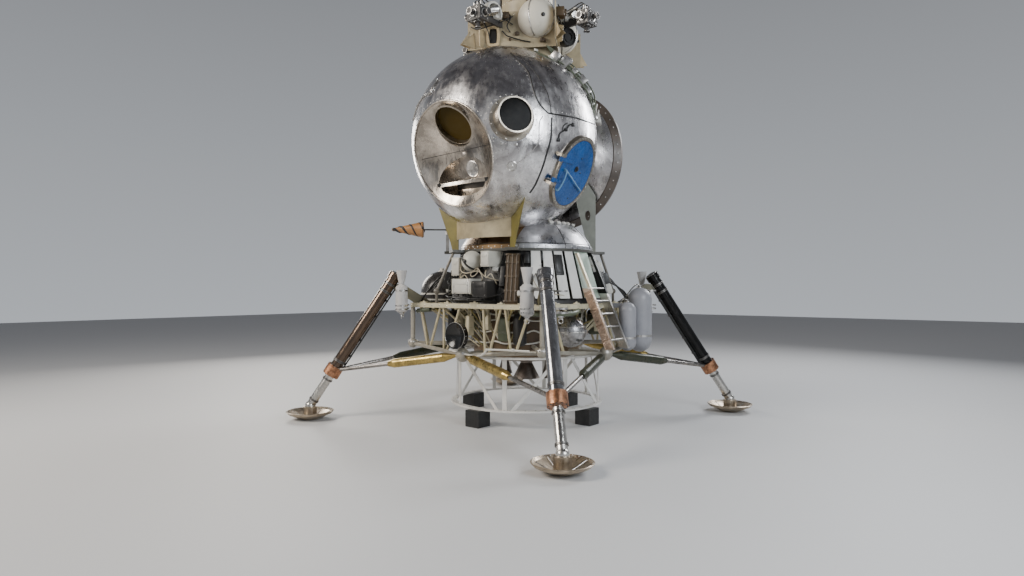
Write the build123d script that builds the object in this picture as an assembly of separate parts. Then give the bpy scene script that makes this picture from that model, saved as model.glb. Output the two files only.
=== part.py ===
"""One-man lunar lander on its display ring, in millimetres.

+Z is up and the origin is on the floor under the lander's axis. The front, with the dished
window, faces -Y. An azimuth of 0 points to the front and 90 points to the hatch side, +X.
"""
from build123d import *
from math import cos, radians, sin, sqrt
import os

# Clearances
SEAT = 0.3                 # gap between a seated piece and what carries it
SWING_GAP = 5.0            # gap round a door that moves
PIN_GAP = 0.4              # gap between a hinge pin and its eye

# Heights of the landing stage
DECK_TOP = 1330.0
DECK_THICKNESS = 50.0
DECK_BOTTOM = DECK_TOP - DECK_THICKNESS
RING_BOTTOM = 1900.0       # support ring between landing stage and cabin
RING_THICKNESS = 30.0
RING_TOP = RING_BOTTOM + RING_THICKNESS

# Cabin
CABIN_RADIUS = 1045.0
CABIN_WALL = 30.0
CABIN_BOTTOM = 2102.0
CABIN_FORWARD = 400.0
CABIN_CENTRE = Vector(0, -CABIN_FORWARD, CABIN_BOTTOM + CABIN_RADIUS)
FRONT_SEAM_AZIMUTH = 64.0
SIDE_SEAM_RISE = 63.0
SIDE_SEAM_HEIGHT = CABIN_CENTRE.Z + SIDE_SEAM_RISE
FLOOR_HEIGHT = 2450.0
FLOOR_THICKNESS = 25.0
FLOOR_FRONT = -960.0

# Window dish in the front of the cabin
DISH_TILT = 17.0
DISH_RADIUS = 556.0
DISH_DEPTH = 185.0
DISH_SKIN = 16.0
DISH_BEAD = 10.0
DISH_RIM_DISTANCE = sqrt(CABIN_RADIUS ** 2 - DISH_RADIUS ** 2)
BOWL_RADIUS = (DISH_RADIUS ** 2 + DISH_DEPTH ** 2) / (2 * DISH_DEPTH)
LANDING_WINDOW_RISE = 303.0
LANDING_WINDOW_TILT = 44.0
LANDING_WINDOW_RADIUS = 218.0
LANDING_WINDOW_WALL = 20.0
LANDING_WINDOW_BACK = 45.0
LANDING_WINDOW_FRONT = 35.0

# Recess in the lower half of the dish: an arch above a bar and a slot under it
RECESS_BASE = -290.0
RECESS_HALF_WIDTH = 350.0
RECESS_HEIGHT = 240.0
RECESS_BAR = 34.0
SLOT_HALF_WIDTH = 320.0
SLOT_HEIGHT = 125.0
RECESS_DEPTH = 60.0          # behind the lowest point of the bowl

# Round side port
PORT_AZIMUTH = 44.0
PORT_ELEVATION = 1.0
PORT_FRAME_RADIUS = 222.0
PORT_DEPTH = 60.0
PORT_PROUD = 4.0
PORT_FACE = CABIN_RADIUS + PORT_PROUD
PORT_TUBE_AZIMUTH = 57.0     # the tube that carries the glass leans to the side of the flange
PORT_TUBE_ELEVATION = 4.0
PORT_TUBE_LENGTH = 130.0
PORT_RADIUS = 165.0
PORT_TUBE_WALL = 14.0
PORT_GLASS_DEPTH = 40.0
GLASS_THICKNESS = 12.0

# Hatch
HATCH_AZIMUTH = 93.0
HATCH_ELEVATION = -25.5
HATCH_HALF_HEIGHT = 355.0
HATCH_HALF_WIDTH = 292.0
HATCH_LIP = 30.0
HATCH_FRAME_WALL = 45.0
HATCH_SINK = 20.0
HATCH_FACE_DISTANCE = CABIN_RADIUS - HATCH_SINK
HATCH_FRAME_DEPTH = 120.0
HATCH_DOOR_THICKNESS = 24.0
HINGE_PIN_RADIUS = 9.0
HINGE_EYE_RADIUS = 20.0
HINGE_OUTSET = 75.0         # from the door's edge out to the hinge axis
HINGE_REACH = HATCH_HALF_WIDTH + HINGE_OUTSET
HINGE_RISE = 18.0
HINGE_SPREAD = 110.0
HINGE_EYE_LENGTH = 50.0
LUG_INSET = 10.0
LUG_DEPTH = 65.0
STRAP_WIDTH = 36.0
STRAP_THICKNESS = 12.0
STRAP_ON_DOOR = 180.0
STRAP_FOOT = 120.0

# Instrument bay behind the cabin
BAY_HEIGHT = 3100.0
BAY_FACE_RADIUS = 500.0      # the flat middle of the front face, inside the cabin
BAY_FACE = 520.0
BAY_RADIUS = 785.0
BAY_FRONT = 665.0
BAY_REAR = 762.0
BAY_DOME = 330.0
FLANGE_RADIUS = 860.0
FLANGE_STEP = 15.0
FLANGE_EDGE = 20.0

# Thruster block on top
RCS_RISE = 138.0
RCS_BASE_RADIUS = 430.0
RCS_BASE_HEIGHT = 530.0
RCS_BASE_TOP = CABIN_CENTRE.Z + CABIN_RADIUS + RCS_RISE
RCS_BASE_BOTTOM = RCS_BASE_TOP - RCS_BASE_HEIGHT
RCS_HEIGHT = 870.0
LANDER_TOP = RCS_BASE_TOP + RCS_HEIGHT
RCS_NECK_RADIUS = 330.0
RCS_HOUSING_RADIUS = 300.0
RCS_TANK_AZIMUTHS = (55, 145, 235, 325)
RCS_TANK_RADIUS = 218.0
RCS_TANK_REACH = 420.0
RCS_TANK_RISE = 195.0
RCS_TANK_HEIGHT = RCS_BASE_TOP + RCS_TANK_RISE
POD_AZIMUTHS = (0, 90, 180, 270)
POD_REACH = 850.0
POD_RISE = 140.0
POD_ARM_HALF_WIDTH = 18.0
POD_HEIGHT = RCS_BASE_TOP + POD_RISE
POD_WIDTH = 190.0
POD_DEPTH = 150.0
RCS_PLATE_AZIMUTH = 31.0
RCS_PLATE_FACE = 400.0
RCS_PLATE_THICKNESS = 10.0
RCS_PLATE_LEFT = 620.0
RCS_PLATE_BOTTOM = 4205.0
RCS_PLATE_TOP = 4620.0
DOCKING_RADIUS = 500.0
DOCKING_THICKNESS = 120.0

# Landing stage
DECK_HALF_WIDTH = 983.0
BLOCK_RADIUS = 620.0
BLOCK_BOTTOM = 740.0
BLOCK_DOME = 100.0
NOZZLE_WALL = 10.0
CORNER_AZIMUTHS = (0, 90, 180, 270)
CORNER_REACH = 1090.0
CORNER_HEIGHT = 790.0
CORNER_BALL = 75.0
LEG_NODE_REACH = 1330.0
LEG_NODE_HEIGHT = 860.0
LEG_NODE_BALL = 55.0
FRAME_TUBE = 22.0
ARM_TUBE = 30.0
POST_RADIUS = 25.0
LATTICE_RADIUS = 14.0
LATTICE_DEPTH = 950.0
SLANT_RADIUS = 16.0
RING_RADIUS = 790.0
EAR_REACH = 930.0
EAR_HALF_WIDTH = 70.0
SKIRT_RADIUS = 770.0
SKIRT_BAND = 40.0
SKIRT_TOP = 2245.0
SKIRT_TOP_RADIUS = 520.0
SKIRT_WALL = 12.0
SKIRT_BULGE = 18.0
WALL_GAP = 110.0            # from the rocket block out to the wall's narrow end
WALL_FLARE = 160.0
WALL_THICKNESS = 10.0
WALL_TOP_RADIUS = BLOCK_RADIUS + WALL_GAP + WALL_THICKNESS
WALL_BOTTOM_RADIUS = WALL_TOP_RADIUS + WALL_FLARE
LOUVRE_STAND_OFF = 30.0
LOUVRE_TOP_RADIUS = WALL_TOP_RADIUS + LOUVRE_STAND_OFF
LOUVRE_BOTTOM_RADIUS = WALL_BOTTOM_RADIUS + LOUVRE_STAND_OFF
LOUVRE_BOTTOM = 1390.0
LOUVRE_THICKNESS = 8.0

# Legs, as radius and height in the plane of each leg
LEG_AZIMUTHS = (45, -45, 135, 225)
LEG_TOP = (1520.0, 1660.0)
FOOT_REACH = 2500.0
FOOT_BALL_HEIGHT = 150.0
FOOT_BALL = 58.0
LEG_TUBE = 67.5
LEG_HEAD = 80.0
LEG_HEAD_LENGTH = 70.0
KNEE_SHARE = 0.735
COLLAR_RADIUS = 95.0
COLLAR_HALF_LENGTH = 60.0
PISTON_RADIUS = 50.0
BRACKET_THICKNESS = 60.0
PAD_RADIUS = 265.0
PAD_RIM = 95.0
PAD_BASE = 95.0
PAD_SKIN = 12.0
PAD_HUB = 75.0
PAD_HUB_TOP = 140.0

# Side struts
STRUT_RADIUS = 50.0
STRUT_ROOT = 14.0
STRUT_TAPER = 150.0
STRUT_SHARE = 0.55
STRUT_ROD = 22.0

# Hold-down motors
MOTOR_RADIUS = 68.0
MOTOR_BOTTOM = 1225.0
MOTOR_TOP = 1530.0
MOTOR_NOZZLE_TOP = 1700.0
MOTOR_REACH = 1450.0
MOTOR_OFFSET = 165.0

# Ladder
LADDER_AZIMUTH = 90.0
LADDER_STAND_OFF = 45.0
LADDER_RUN = 459.0
LADDER_TOP = (LOUVRE_TOP_RADIUS + LADDER_STAND_OFF, 1880.0)
LADDER_BOTTOM = (LADDER_TOP[0] + LADDER_RUN, 850.0)
LADDER_HALF_WIDTH = 147.0
LADDER_STRINGER = 30.0
LADDER_STEP_HEIGHT = 1495.0   # below this height the stringers are deeper
LADDER_STEP_DEPTH = 75.0
RUNG_RADIUS = 11.0
RUNG_PITCH = 136.0
RUNG_COUNT = 5
RUNG_FOOT = 101.0

# Antenna
ANTENNA_AZIMUTH = -47.5
ANTENNA_HINGE_REACH = 930.0
ANTENNA_EAR_MARGIN = 35.0
ANTENNA_HEIGHT = 2185.0
ANTENNA_PIN = 10.0
ANTENNA_EYE = 24.0
ANTENNA_EYE_HEIGHT = 40.0
BOOM_RADIUS = 9.0
CONE_START = 1210.0
CONE_END = 1580.0
CONE_RADIUS = 95.0
CONE_TIP = 12.0

# Display ring under the lander
STAND_RADIUS = 852.0
STAND_RING_WIDTH = 66.0
STAND_RING_THICKNESS = 20.0
STAND_FOOT_WIDTH = 190.0
STAND_FOOT_HEIGHT = 180.0
STAND_BAR_WIDTH = 50.0
STAND_BAR_THICKNESS = 8.0
STAND_TOP = CORNER_HEIGHT - ARM_TUBE - SEAT

# A plane whose x is the distance out from the axis at azimuth 0, and whose y is the height
RADIAL = Plane(origin=(0, 0, 0), x_dir=(0, -1, 0), z_dir=(-1, 0, 0))

# Fins, rear brackets and band under the cabin
FIN_AZIMUTH = 28.5
FIN_REACH = 870.0
FIN_HEADING = 74.0
FIN_THICKNESS = 10.0
REAR_BRACKET_AZIMUTH = 135.0
REAR_BRACKET_THICKNESS = 14.0
BAND_RADIUS = 860.0
BAND_THICKNESS = 8.0
BAND_BOTTOM = 2045.0

# Lattice struts of one face: offset of the top and of the foot, and a face that lacks the strut
LATTICE = (
    (-800, -640, None),
    (-470, -590, 90),
    (-420, -330, 90),
    (-170, -280, 90),
    (170, 280, None),
    (420, 330, None),
    (470, 590, None),
    (800, 640, None),
)

# Slanted struts from the ring's ears: azimuth and reach of the ball fitting at the foot
SLANTS = ((-FIN_AZIMUTH, 1095), (REAR_BRACKET_AZIMUTH, 1045), (-REAR_BRACKET_AZIMUTH, 1045))
SLANT_HEAD_REACH = 895.0
SLANT_FOOT_RISE = 133.0
SLANT_BALL = 34.0

# White strips of the louvred side: azimuth and width in degrees
LOUVRES = ((45.5, 7.5), (55, 7.5), (64.2, 7.5), (74.3, 8.2))
SIDE_PANEL = (90, 19.0)

# Equipment on the wall at azimuth 0: x, height, width, tall, stand-off from the wall's narrow end
BOXES = (
    (180, 1810, 115, 165, 200),
    (-100, 1520, 280, 160, 270),
    (155, 1490, 200, 170, 260),
    (-330, 1740, 120, 200, 120),
)

# Small round tank among the boxes: x, height, radius, stand-off of its centre
SMALL_TANK = (-75, 1790, 115, 120)

COLUMN_AZIMUTH = 28.5
COLUMN_HALF_WIDTH = 68.0
COLUMN_DEPTH = 90.0
COLUMN_TOP = 1865.0

# Tanks at the sides
SIDE_TANK_AZIMUTH = -72.0
SIDE_TANK_REACH = 1120.0
SIDE_TANK_RADIUS = 260.0
SIDE_TANK_SHOULDER = 1450.0
SPHERE_TANK_AZIMUTH = 66.5
SPHERE_TANK_REACH = 985.0
SPHERE_TANK_HEIGHT = 1040.0
SPHERE_TANK_RADIUS = 165.0
SPHERE_TANK_NECK = 30.0

# Upright capsules beside the ladder: azimuth, reach, radius, bottom, top
CAPSULES = ((105, 1220, 95, 900, 1250), (117, 1320, 135, 910, 1370))

# Nozzles under the rocket block: x, throat, mouth, length
NOZZLES = ((0, 60, 150, 180), (-330, 35, 80, 150), (330, 35, 80, 150))
NOZZLE_NECK_WALL = 10.0
NOZZLE_NECK_TOP = 120.0
NOZZLE_DROP = 20.0          # from the block's lowest point down to the throats

# Console seen through the side port: low and high corners, in plan, and heights
CONSOLE_POST = ((260, -820), (340, -740))
CONSOLE_POST_TOP = 2860.0
CONSOLE_PANEL = ((90, -850), (510, -790))
CONSOLE_PANEL_BOTTOM = 2840.0
CONSOLE_PANEL_TOP = 3090.0

# Landing radar dish
RADAR_HEIGHT = 1000.0
RADAR_POST_RADIUS = 22.0
RADAR_HEAD_RADIUS = 40.0
RADAR_HEAD_INSET = 25.0
RADAR_HEAD_LENGTH = 90.0
RADAR_RADIUS = 140.0
RADAR_RIM_DEPTH = 60.0
RADAR_BOWL_RADIUS = 236.0
RADAR_BOWL_OFFSET = 260.0

# Ends and arm of a hold-down motor
MOTOR_END = 20.0
MOTOR_FOOT_RADIUS = 40.0
MOTOR_NECK_RADIUS = 34.0
MOTOR_NECK_LENGTH = 30.0
MOTOR_THROAT = 28.0
MOTOR_MOUTH = 62.0
MOTOR_ARM_HALF_WIDTH = 14.0
MOTOR_ARM_BOTTOM = 1470.0
MOTOR_ARM_TOP = 1505.0


def polar(reach, azimuth, height):
    """The point at a distance from the axis, an azimuth and a height."""
    turn = radians(azimuth)
    return Vector(reach * sin(turn), -reach * cos(turn), height)


def at_azimuth(azimuth, shape):
    """Turn a shape modelled at azimuth 0 to its own azimuth."""
    return Rot(0, 0, azimuth) * shape


def rod(start, end, radius, start_trim=0.0, end_trim=0.0):
    """A round bar between two points, shortened at its ends."""
    way = end - start
    length = way.length - start_trim - end_trim
    bar = Cylinder(radius, length, align=(Align.CENTER, Align.CENTER, Align.MIN))
    return Plane(origin=start + way.normalized() * start_trim, z_dir=way) * bar


def spindle(start, end, stations):
    """A turned bar on the line between two points; stations are (distance, radius)."""
    outline = [(0, stations[0][0])]
    outline += [(radius, distance) for distance, radius in stations]
    outline += [(0, stations[-1][0])]
    body = revolve(Plane.XZ * Polygon(*outline, align=None), Axis.Z)
    return Plane(origin=start, z_dir=end - start) * body


def turned(outline):
    """A solid turned about the lander's axis from (reach, height) points."""
    return revolve(RADIAL * Polygon(*outline, align=None), Axis.Z)


def dome_arc(radius, height, rise):
    """An arc from an edge to the axis, centred on the axis; a negative rise points down."""
    ball_radius = (radius ** 2 + rise ** 2) / (2 * abs(rise))
    fall = ball_radius - sqrt(ball_radius ** 2 - (radius / 2) ** 2)
    middle = height + rise - fall if rise > 0 else height + rise + fall
    return ThreePointArc((radius, height), (radius / 2, middle), (0, height + rise))


def radial_plate(outline, thickness):
    """A flat plate in the radial plane at azimuth 0, from (reach, height) points."""
    return extrude(RADIAL * Polygon(*outline, align=None), amount=thickness / 2, both=True)


def ball(centre, radius):
    return Pos(*centre) * Sphere(radius)


def block(low, high):
    """A box from its lowest corner to its highest corner."""
    size = [high[i] - low[i] for i in range(3)]
    middle = [(high[i] + low[i]) / 2 for i in range(3)]
    return Pos(*middle) * Box(*size)


def save(node, *shapes):
    """Write the solids of one node to its file."""
    solids = [solid for shape in shapes for solid in shape.solids()]
    piece = solids[0] if len(solids) == 1 else Compound(solids)
    export_step(piece, f"parts/{node}.step")


# Cabin


def cabin_ball(radius):
    """A ball at the cabin's centre, turned so that its seam lies off the plane of symmetry."""
    return Pos(*CABIN_CENTRE) * Rot(0, 0, 90) * Sphere(radius)


def facing(azimuth, elevation):
    """The outward direction at an azimuth and elevation."""
    level = cos(radians(elevation))
    turn = radians(azimuth)
    return Vector(level * sin(turn), -level * cos(turn), sin(radians(elevation)))


def dish_plane():
    """Origin at the cabin's centre, z out through the dish, y up the dish."""
    return Plane(origin=CABIN_CENTRE, x_dir=(1, 0, 0), z_dir=facing(0, -DISH_TILT))


def landing_window_plane():
    """Origin on the bowl at the middle of the window, z out of the glass."""
    fall = BOWL_RADIUS - sqrt(BOWL_RADIUS ** 2 - LANDING_WINDOW_RISE ** 2)
    distance = DISH_RIM_DISTANCE - DISH_DEPTH + fall
    middle = dish_plane().from_local_coords(Vector(0, LANDING_WINDOW_RISE, distance))
    return Plane(origin=middle, x_dir=(1, 0, 0), z_dir=facing(0, -LANDING_WINDOW_TILT))


def port_plane():
    """Origin at the cabin's centre, z out through the flange of the side port."""
    return Plane(origin=CABIN_CENTRE, z_dir=facing(PORT_AZIMUTH, PORT_ELEVATION))


def port_tube_plane():
    """Origin at the middle of the port's flange, z out along the tube with the glass."""
    origin = port_plane().from_local_coords(Vector(0, 0, PORT_FACE))
    return Plane(origin=origin, z_dir=facing(PORT_TUBE_AZIMUTH, PORT_TUBE_ELEVATION))


def hatch_plane():
    """Origin at the cabin's centre, z out through the hatch, x down the hatch, y to the rear."""
    down = facing(HATCH_AZIMUTH, HATCH_ELEVATION - 90)
    return Plane(origin=CABIN_CENTRE, x_dir=down, z_dir=facing(HATCH_AZIMUTH, HATCH_ELEVATION))


def oval(grow, bottom, top):
    """An oval prism of the hatch, grown all round, between two distances along its axis."""
    face = Ellipse(HATCH_HALF_HEIGHT + grow, HATCH_HALF_WIDTH + grow)
    return hatch_plane() * Pos(0, 0, bottom) * extrude(face, amount=top - bottom)


def drum(radius, bottom, top):
    """A cylinder from one height to another on the local z axis."""
    body = Cylinder(radius, top - bottom, align=(Align.CENTER, Align.CENTER, Align.MIN))
    return Pos(0, 0, bottom) * body


def cabin_shell():
    """The whole hollow sphere with the dish, port and hatch openings cut."""
    shell = cabin_ball(CABIN_RADIUS) - cabin_ball(CABIN_RADIUS - CABIN_WALL)
    shell -= dish_plane() * drum(DISH_RADIUS + SEAT, CABIN_RADIUS / 2, 1.5 * CABIN_RADIUS)
    shell -= port_plane() * drum(PORT_FRAME_RADIUS + SEAT, CABIN_RADIUS / 2, 1.5 * CABIN_RADIUS)
    shell -= oval(HATCH_FRAME_WALL + SEAT, CABIN_RADIUS / 2, 1.5 * CABIN_RADIUS)
    return shell


def cabin_panels():
    """The four shell panels: front, right, left and top."""
    shell = cabin_shell()
    reach = 3 * CABIN_RADIUS
    x, y, z = CABIN_CENTRE
    side_x = reach * sin(radians(FRONT_SEAM_AZIMUTH))
    side_y = y - reach * cos(radians(FRONT_SEAM_AZIMUTH))
    corners = ((x, y), (x + side_x, side_y), (x - side_x, side_y))
    wedge = extrude(Pos(0, 0, z) * Polygon(*corners, align=None), amount=reach, both=True)
    front = shell & wedge
    rear = shell - wedge
    far = 2 * CABIN_RADIUS
    top = rear & block((x - far, y - far, SIDE_SEAM_HEIGHT), (x + far, y + far, z + far))
    right = rear & block((x, y - far, z - far), (x + far, y + far, SIDE_SEAM_HEIGHT))
    left = rear & block((x - far, y - far, z - far), (x, y + far, SIDE_SEAM_HEIGHT))
    return front, right, left, top


def recess_outline(grow):
    """The arch and the slot under its bar, drawn flat across the dish."""
    wide = 2 * DISH_RADIUS
    arch = Ellipse(RECESS_HALF_WIDTH + grow, RECESS_HEIGHT + grow)
    arch &= Pos(0, wide / 2 - grow) * Rectangle(wide, wide)
    slot = Ellipse(SLOT_HALF_WIDTH + grow, SLOT_HEIGHT + grow)
    slot &= Pos(0, grow - wide / 2) * Rectangle(wide, wide)
    return Pos(0, RECESS_BASE) * arch, Pos(0, RECESS_BASE - RECESS_BAR) * slot


def dish_panel():
    """The dished front panel with its rim, its recess and the hole of the landing window."""
    centre_distance = DISH_RIM_DISTANCE - DISH_DEPTH + BOWL_RADIUS
    bowl = drum(DISH_RADIUS, DISH_RIM_DISTANCE - DISH_DEPTH - 2 * DISH_SKIN, DISH_RIM_DISTANCE)
    bowl &= Pos(0, 0, centre_distance) * Sphere(BOWL_RADIUS + DISH_SKIN)
    bowl -= Pos(0, 0, centre_distance) * Sphere(BOWL_RADIUS)
    back = DISH_RIM_DISTANCE - DISH_DEPTH - RECESS_DEPTH
    for inner, outer in zip(recess_outline(0), recess_outline(DISH_SKIN)):
        cup = Pos(0, 0, back - DISH_SKIN) * extrude(outer, amount=DISH_RIM_DISTANCE - back)
        cup -= Pos(0, 0, centre_distance) * Sphere(BOWL_RADIUS)
        bowl = bowl + cup - Pos(0, 0, back) * extrude(inner, amount=2 * DISH_RADIUS)
    bead = Torus(DISH_RADIUS - DISH_BEAD, DISH_BEAD)
    panel = dish_plane() * (bowl + Pos(0, 0, DISH_RIM_DISTANCE) * bead)
    hole = drum(LANDING_WINDOW_RADIUS + LANDING_WINDOW_WALL + SEAT, -150, 150)
    return panel - landing_window_plane() * hole


def window_set(glass_radius, wall, bottom, top):
    """A round frame and its glass, on the local z axis, with the glass in a step at the back."""
    step = wall / 2
    glass_bottom = bottom + step
    glass_top = glass_bottom + GLASS_THICKNESS
    frame = drum(glass_radius + wall, bottom, top) - drum(glass_radius, bottom - 1, top + 1)
    frame -= drum(glass_radius + step, bottom - 1, glass_top)
    glass = drum(glass_radius + step - SEAT, glass_bottom, glass_top - SEAT)
    return frame, glass


def landing_window():
    radius, wall = LANDING_WINDOW_RADIUS, LANDING_WINDOW_WALL
    frame, glass = window_set(radius, wall, -LANDING_WINDOW_BACK, LANDING_WINDOW_FRONT)
    plane = landing_window_plane()
    return plane * frame, plane * glass


def side_port():
    """The flange on the skin, the leaning tube that stands on it, and the glass near its mouth."""
    outside = PORT_RADIUS + PORT_TUBE_WALL
    bottom = PORT_TUBE_LENGTH - PORT_GLASS_DEPTH
    mouth, glass = window_set(PORT_RADIUS, PORT_TUBE_WALL, bottom, PORT_TUBE_LENGTH)
    flange = drum(PORT_FRAME_RADIUS, PORT_FACE - PORT_DEPTH, PORT_FACE)
    lean = port_tube_plane()
    inside = port_plane() * drum(2 * PORT_FRAME_RADIUS, 0, PORT_FACE - PORT_DEPTH)
    neck = lean * drum(outside, -2 * PORT_DEPTH, bottom) - inside
    frame = port_plane() * flange + neck
    frame -= lean * drum(outside - PORT_TUBE_WALL / 2, -PORT_FRAME_RADIUS, bottom + 1)
    return frame + lean * mouth, lean * glass


def hinge_axis_plane():
    """Origin on the hinge axis at the middle of the hatch, x along the axis, z outward."""
    plane = hatch_plane()
    origin = plane.from_local_coords(Vector(0, -HINGE_REACH, HATCH_FACE_DISTANCE + HINGE_RISE))
    return Plane(origin=origin, x_dir=plane.x_dir, z_dir=plane.z_dir)


def along_x(radius, start, end):
    """A cylinder on the local x axis."""
    return Rot(0, 90, 0) * drum(radius, start, end)


def hatch_frame():
    """The oval frame with its rebate, the two hinge lugs and the pins."""
    face = HATCH_FACE_DISTANCE
    seat_depth = HATCH_DOOR_THICKNESS + SWING_GAP
    frame = oval(HATCH_FRAME_WALL, face - HATCH_FRAME_DEPTH, face)
    frame -= oval(-HATCH_LIP, face - HATCH_FRAME_DEPTH - 1, face + 1)
    frame -= oval(SWING_GAP, face - seat_depth, face + 1)
    lug_reach = HINGE_REACH - HATCH_HALF_WIDTH + LUG_INSET
    for side in (-1, 1):
        inner = side * (HINGE_SPREAD + HINGE_EYE_LENGTH / 2 + 1)
        outer = side * (HINGE_SPREAD + HINGE_EYE_LENGTH / 2 + 31)
        low, high = min(inner, outer), max(inner, outer)
        lug = along_x(HINGE_EYE_RADIUS, low, high)
        lug += block((low, -HINGE_EYE_RADIUS, -LUG_DEPTH), (high, lug_reach, 0))
        pin_end = side * (HINGE_SPREAD - HINGE_EYE_LENGTH / 2)
        lug += along_x(HINGE_PIN_RADIUS, min(pin_end, outer), max(pin_end, outer))
        frame += hinge_axis_plane() * lug - cabin_ball(CABIN_RADIUS + SEAT)
    return frame


def hatch_door():
    """The oval door with its two straps and hinge eyes."""
    face = HATCH_FACE_DISTANCE
    door = oval(0, face - HATCH_DOOR_THICKNESS, face)
    for side in (-1, 1):
        middle = side * HINGE_SPREAD
        half = HINGE_EYE_LENGTH / 2
        eye = along_x(HINGE_EYE_RADIUS, middle - half, middle + half)
        strap_bottom = -HINGE_RISE + SWING_GAP
        strap_low = (middle - STRAP_WIDTH / 2, 0, strap_bottom)
        strap_end = HINGE_OUTSET + STRAP_ON_DOOR
        strap_high = (middle + STRAP_WIDTH / 2, strap_end, strap_bottom + STRAP_THICKNESS)
        strap = block(strap_low, strap_high)
        foot_low = (middle - STRAP_WIDTH / 2, strap_end - STRAP_FOOT, -HINGE_RISE)
        strap += block(foot_low, strap_high)
        eye += strap
        eye -= along_x(HINGE_PIN_RADIUS + PIN_GAP, middle - half - 1, middle + half + 1)
        door += hinge_axis_plane() * eye
    return door


def cabin_floor():
    """A flat floor cut to the inside of the sphere."""
    far = 2 * CABIN_RADIUS
    slab = block((-far, FLOOR_FRONT, FLOOR_HEIGHT), (far, far, FLOOR_HEIGHT + FLOOR_THICKNESS))
    floor = slab & cabin_ball(CABIN_RADIUS - CABIN_WALL - SEAT)
    return floor - oval(HATCH_FRAME_WALL + SEAT, CABIN_RADIUS / 2, CABIN_RADIUS)


def control_console():
    """The panel on its post, seen through the side port."""
    floor_top = FLOOR_HEIGHT + FLOOR_THICKNESS
    post = block((*CONSOLE_POST[0], floor_top), (*CONSOLE_POST[1], CONSOLE_POST_TOP))
    panel = block((*CONSOLE_PANEL[0], CONSOLE_PANEL_BOTTOM), (*CONSOLE_PANEL[1], CONSOLE_PANEL_TOP))
    return post + panel


def bay_plane():
    """Origin over the lander's axis at the bay's height, z to the rear."""
    return Plane(origin=(0, 0, BAY_HEIGHT), x_dir=(1, 0, 0), z_dir=(0, 1, 0))


def instrument_bay():
    """The housing behind the cabin: a shallow cone in front and a dome at the rear."""
    edge = Polyline(
        (0, BAY_REAR + BAY_DOME),
        (0, BAY_FACE),
        (BAY_FACE_RADIUS, BAY_FACE),
        (BAY_RADIUS, BAY_FRONT),
        (BAY_RADIUS, BAY_REAR),
    )
    body = revolve(Plane.XZ * make_face(edge + dome_arc(BAY_RADIUS, BAY_REAR, BAY_DOME)), Axis.Z)
    return bay_plane() * body - cabin_ball(CABIN_RADIUS + SEAT)


def bay_flange():
    """The dark flared rim round the bay."""
    inner = BAY_RADIUS + SEAT
    outline = (
        (inner, BAY_FRONT),
        (BAY_RADIUS + FLANGE_STEP, BAY_FRONT),
        (FLANGE_RADIUS, BAY_REAR - FLANGE_EDGE),
        (FLANGE_RADIUS, BAY_REAR),
        (inner, BAY_REAR),
    )
    return bay_plane() * revolve(Plane.XZ * Polygon(*outline, align=None), Axis.Z)


# Thruster block on top


def rcs_tank_centres():
    return [polar(RCS_TANK_REACH, azimuth, RCS_TANK_HEIGHT) for azimuth in RCS_TANK_AZIMUTHS]


def rcs_housing():
    """The plated base that fits over the top of the cabin, and the core that rises from it."""
    outline = (
        (0, RCS_BASE_BOTTOM),
        (RCS_BASE_RADIUS, RCS_BASE_BOTTOM),
        (RCS_NECK_RADIUS, RCS_BASE_TOP),
        (0, RCS_BASE_TOP),
    )
    housing = turned(outline) - cabin_ball(CABIN_RADIUS + SEAT)
    housing += drum(RCS_HOUSING_RADIUS, RCS_BASE_TOP, LANDER_TOP - DOCKING_THICKNESS)
    for centre in rcs_tank_centres():
        housing -= ball(centre, RCS_TANK_RADIUS + SEAT)
    return housing


def rcs_plates():
    """Four flat plates set round the base like the sails of a windmill."""
    face = RCS_PLATE_FACE
    inner = face - RCS_PLATE_THICKNESS
    plates = []
    for turn in range(4):
        low = (-RCS_PLATE_LEFT, -face, RCS_PLATE_BOTTOM)
        plate = block(low, (inner - SEAT, -inner, RCS_PLATE_TOP))
        plate = at_azimuth(RCS_PLATE_AZIMUTH + 90 * turn, plate) - cabin_ball(CABIN_RADIUS + SEAT)
        for centre in rcs_tank_centres():
            plate -= ball(centre, RCS_TANK_RADIUS + SEAT)
        for azimuth in POD_AZIMUTHS:
            plate -= at_azimuth(azimuth, pod_arm(SEAT))
        plates.append(plate)
    return plates


def pod_arm(grow):
    """The flat arm of a pod at azimuth 0."""
    half_width = POD_ARM_HALF_WIDTH + grow
    low = (-half_width, -POD_REACH, POD_HEIGHT - 30 - grow)
    return block(low, (half_width, -RCS_HOUSING_RADIUS + 30, POD_HEIGHT + 30 + grow))


def rcs_tanks():
    return [ball(centre, RCS_TANK_RADIUS) for centre in rcs_tank_centres()]


def thruster_pod():
    """One pod at azimuth 0: its arm, its body and four nozzles."""
    half_width = POD_WIDTH / 2
    half_depth = POD_DEPTH / 2
    low = (-half_width, -POD_REACH - half_depth, POD_HEIGHT - half_depth)
    high = (half_width, -POD_REACH + half_depth, POD_HEIGHT + half_depth)
    pod = block(low, high)
    pod += pod_arm(0) - drum(RCS_HOUSING_RADIUS + SEAT, POD_HEIGHT - 50, POD_HEIGHT + 50)
    middle = Vector(0, -POD_REACH, POD_HEIGHT)
    nozzle = Cone(14, 34, 70, align=(Align.CENTER, Align.CENTER, Align.MIN))
    for way, start in (
        (Vector(1, 0, 0), half_width),
        (Vector(-1, 0, 0), half_width),
        (Vector(0, 0, -1), half_depth),
        (Vector(0, -1, 0), half_depth),
    ):
        pod += Plane(origin=middle + way * (start - 5), z_dir=way) * nozzle
    return pod


def docking_plate():
    """The round plate at the very top that takes the docking probe."""
    return drum(DOCKING_RADIUS, LANDER_TOP - DOCKING_THICKNESS, LANDER_TOP)


# Support between the cabin and the landing stage


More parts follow.
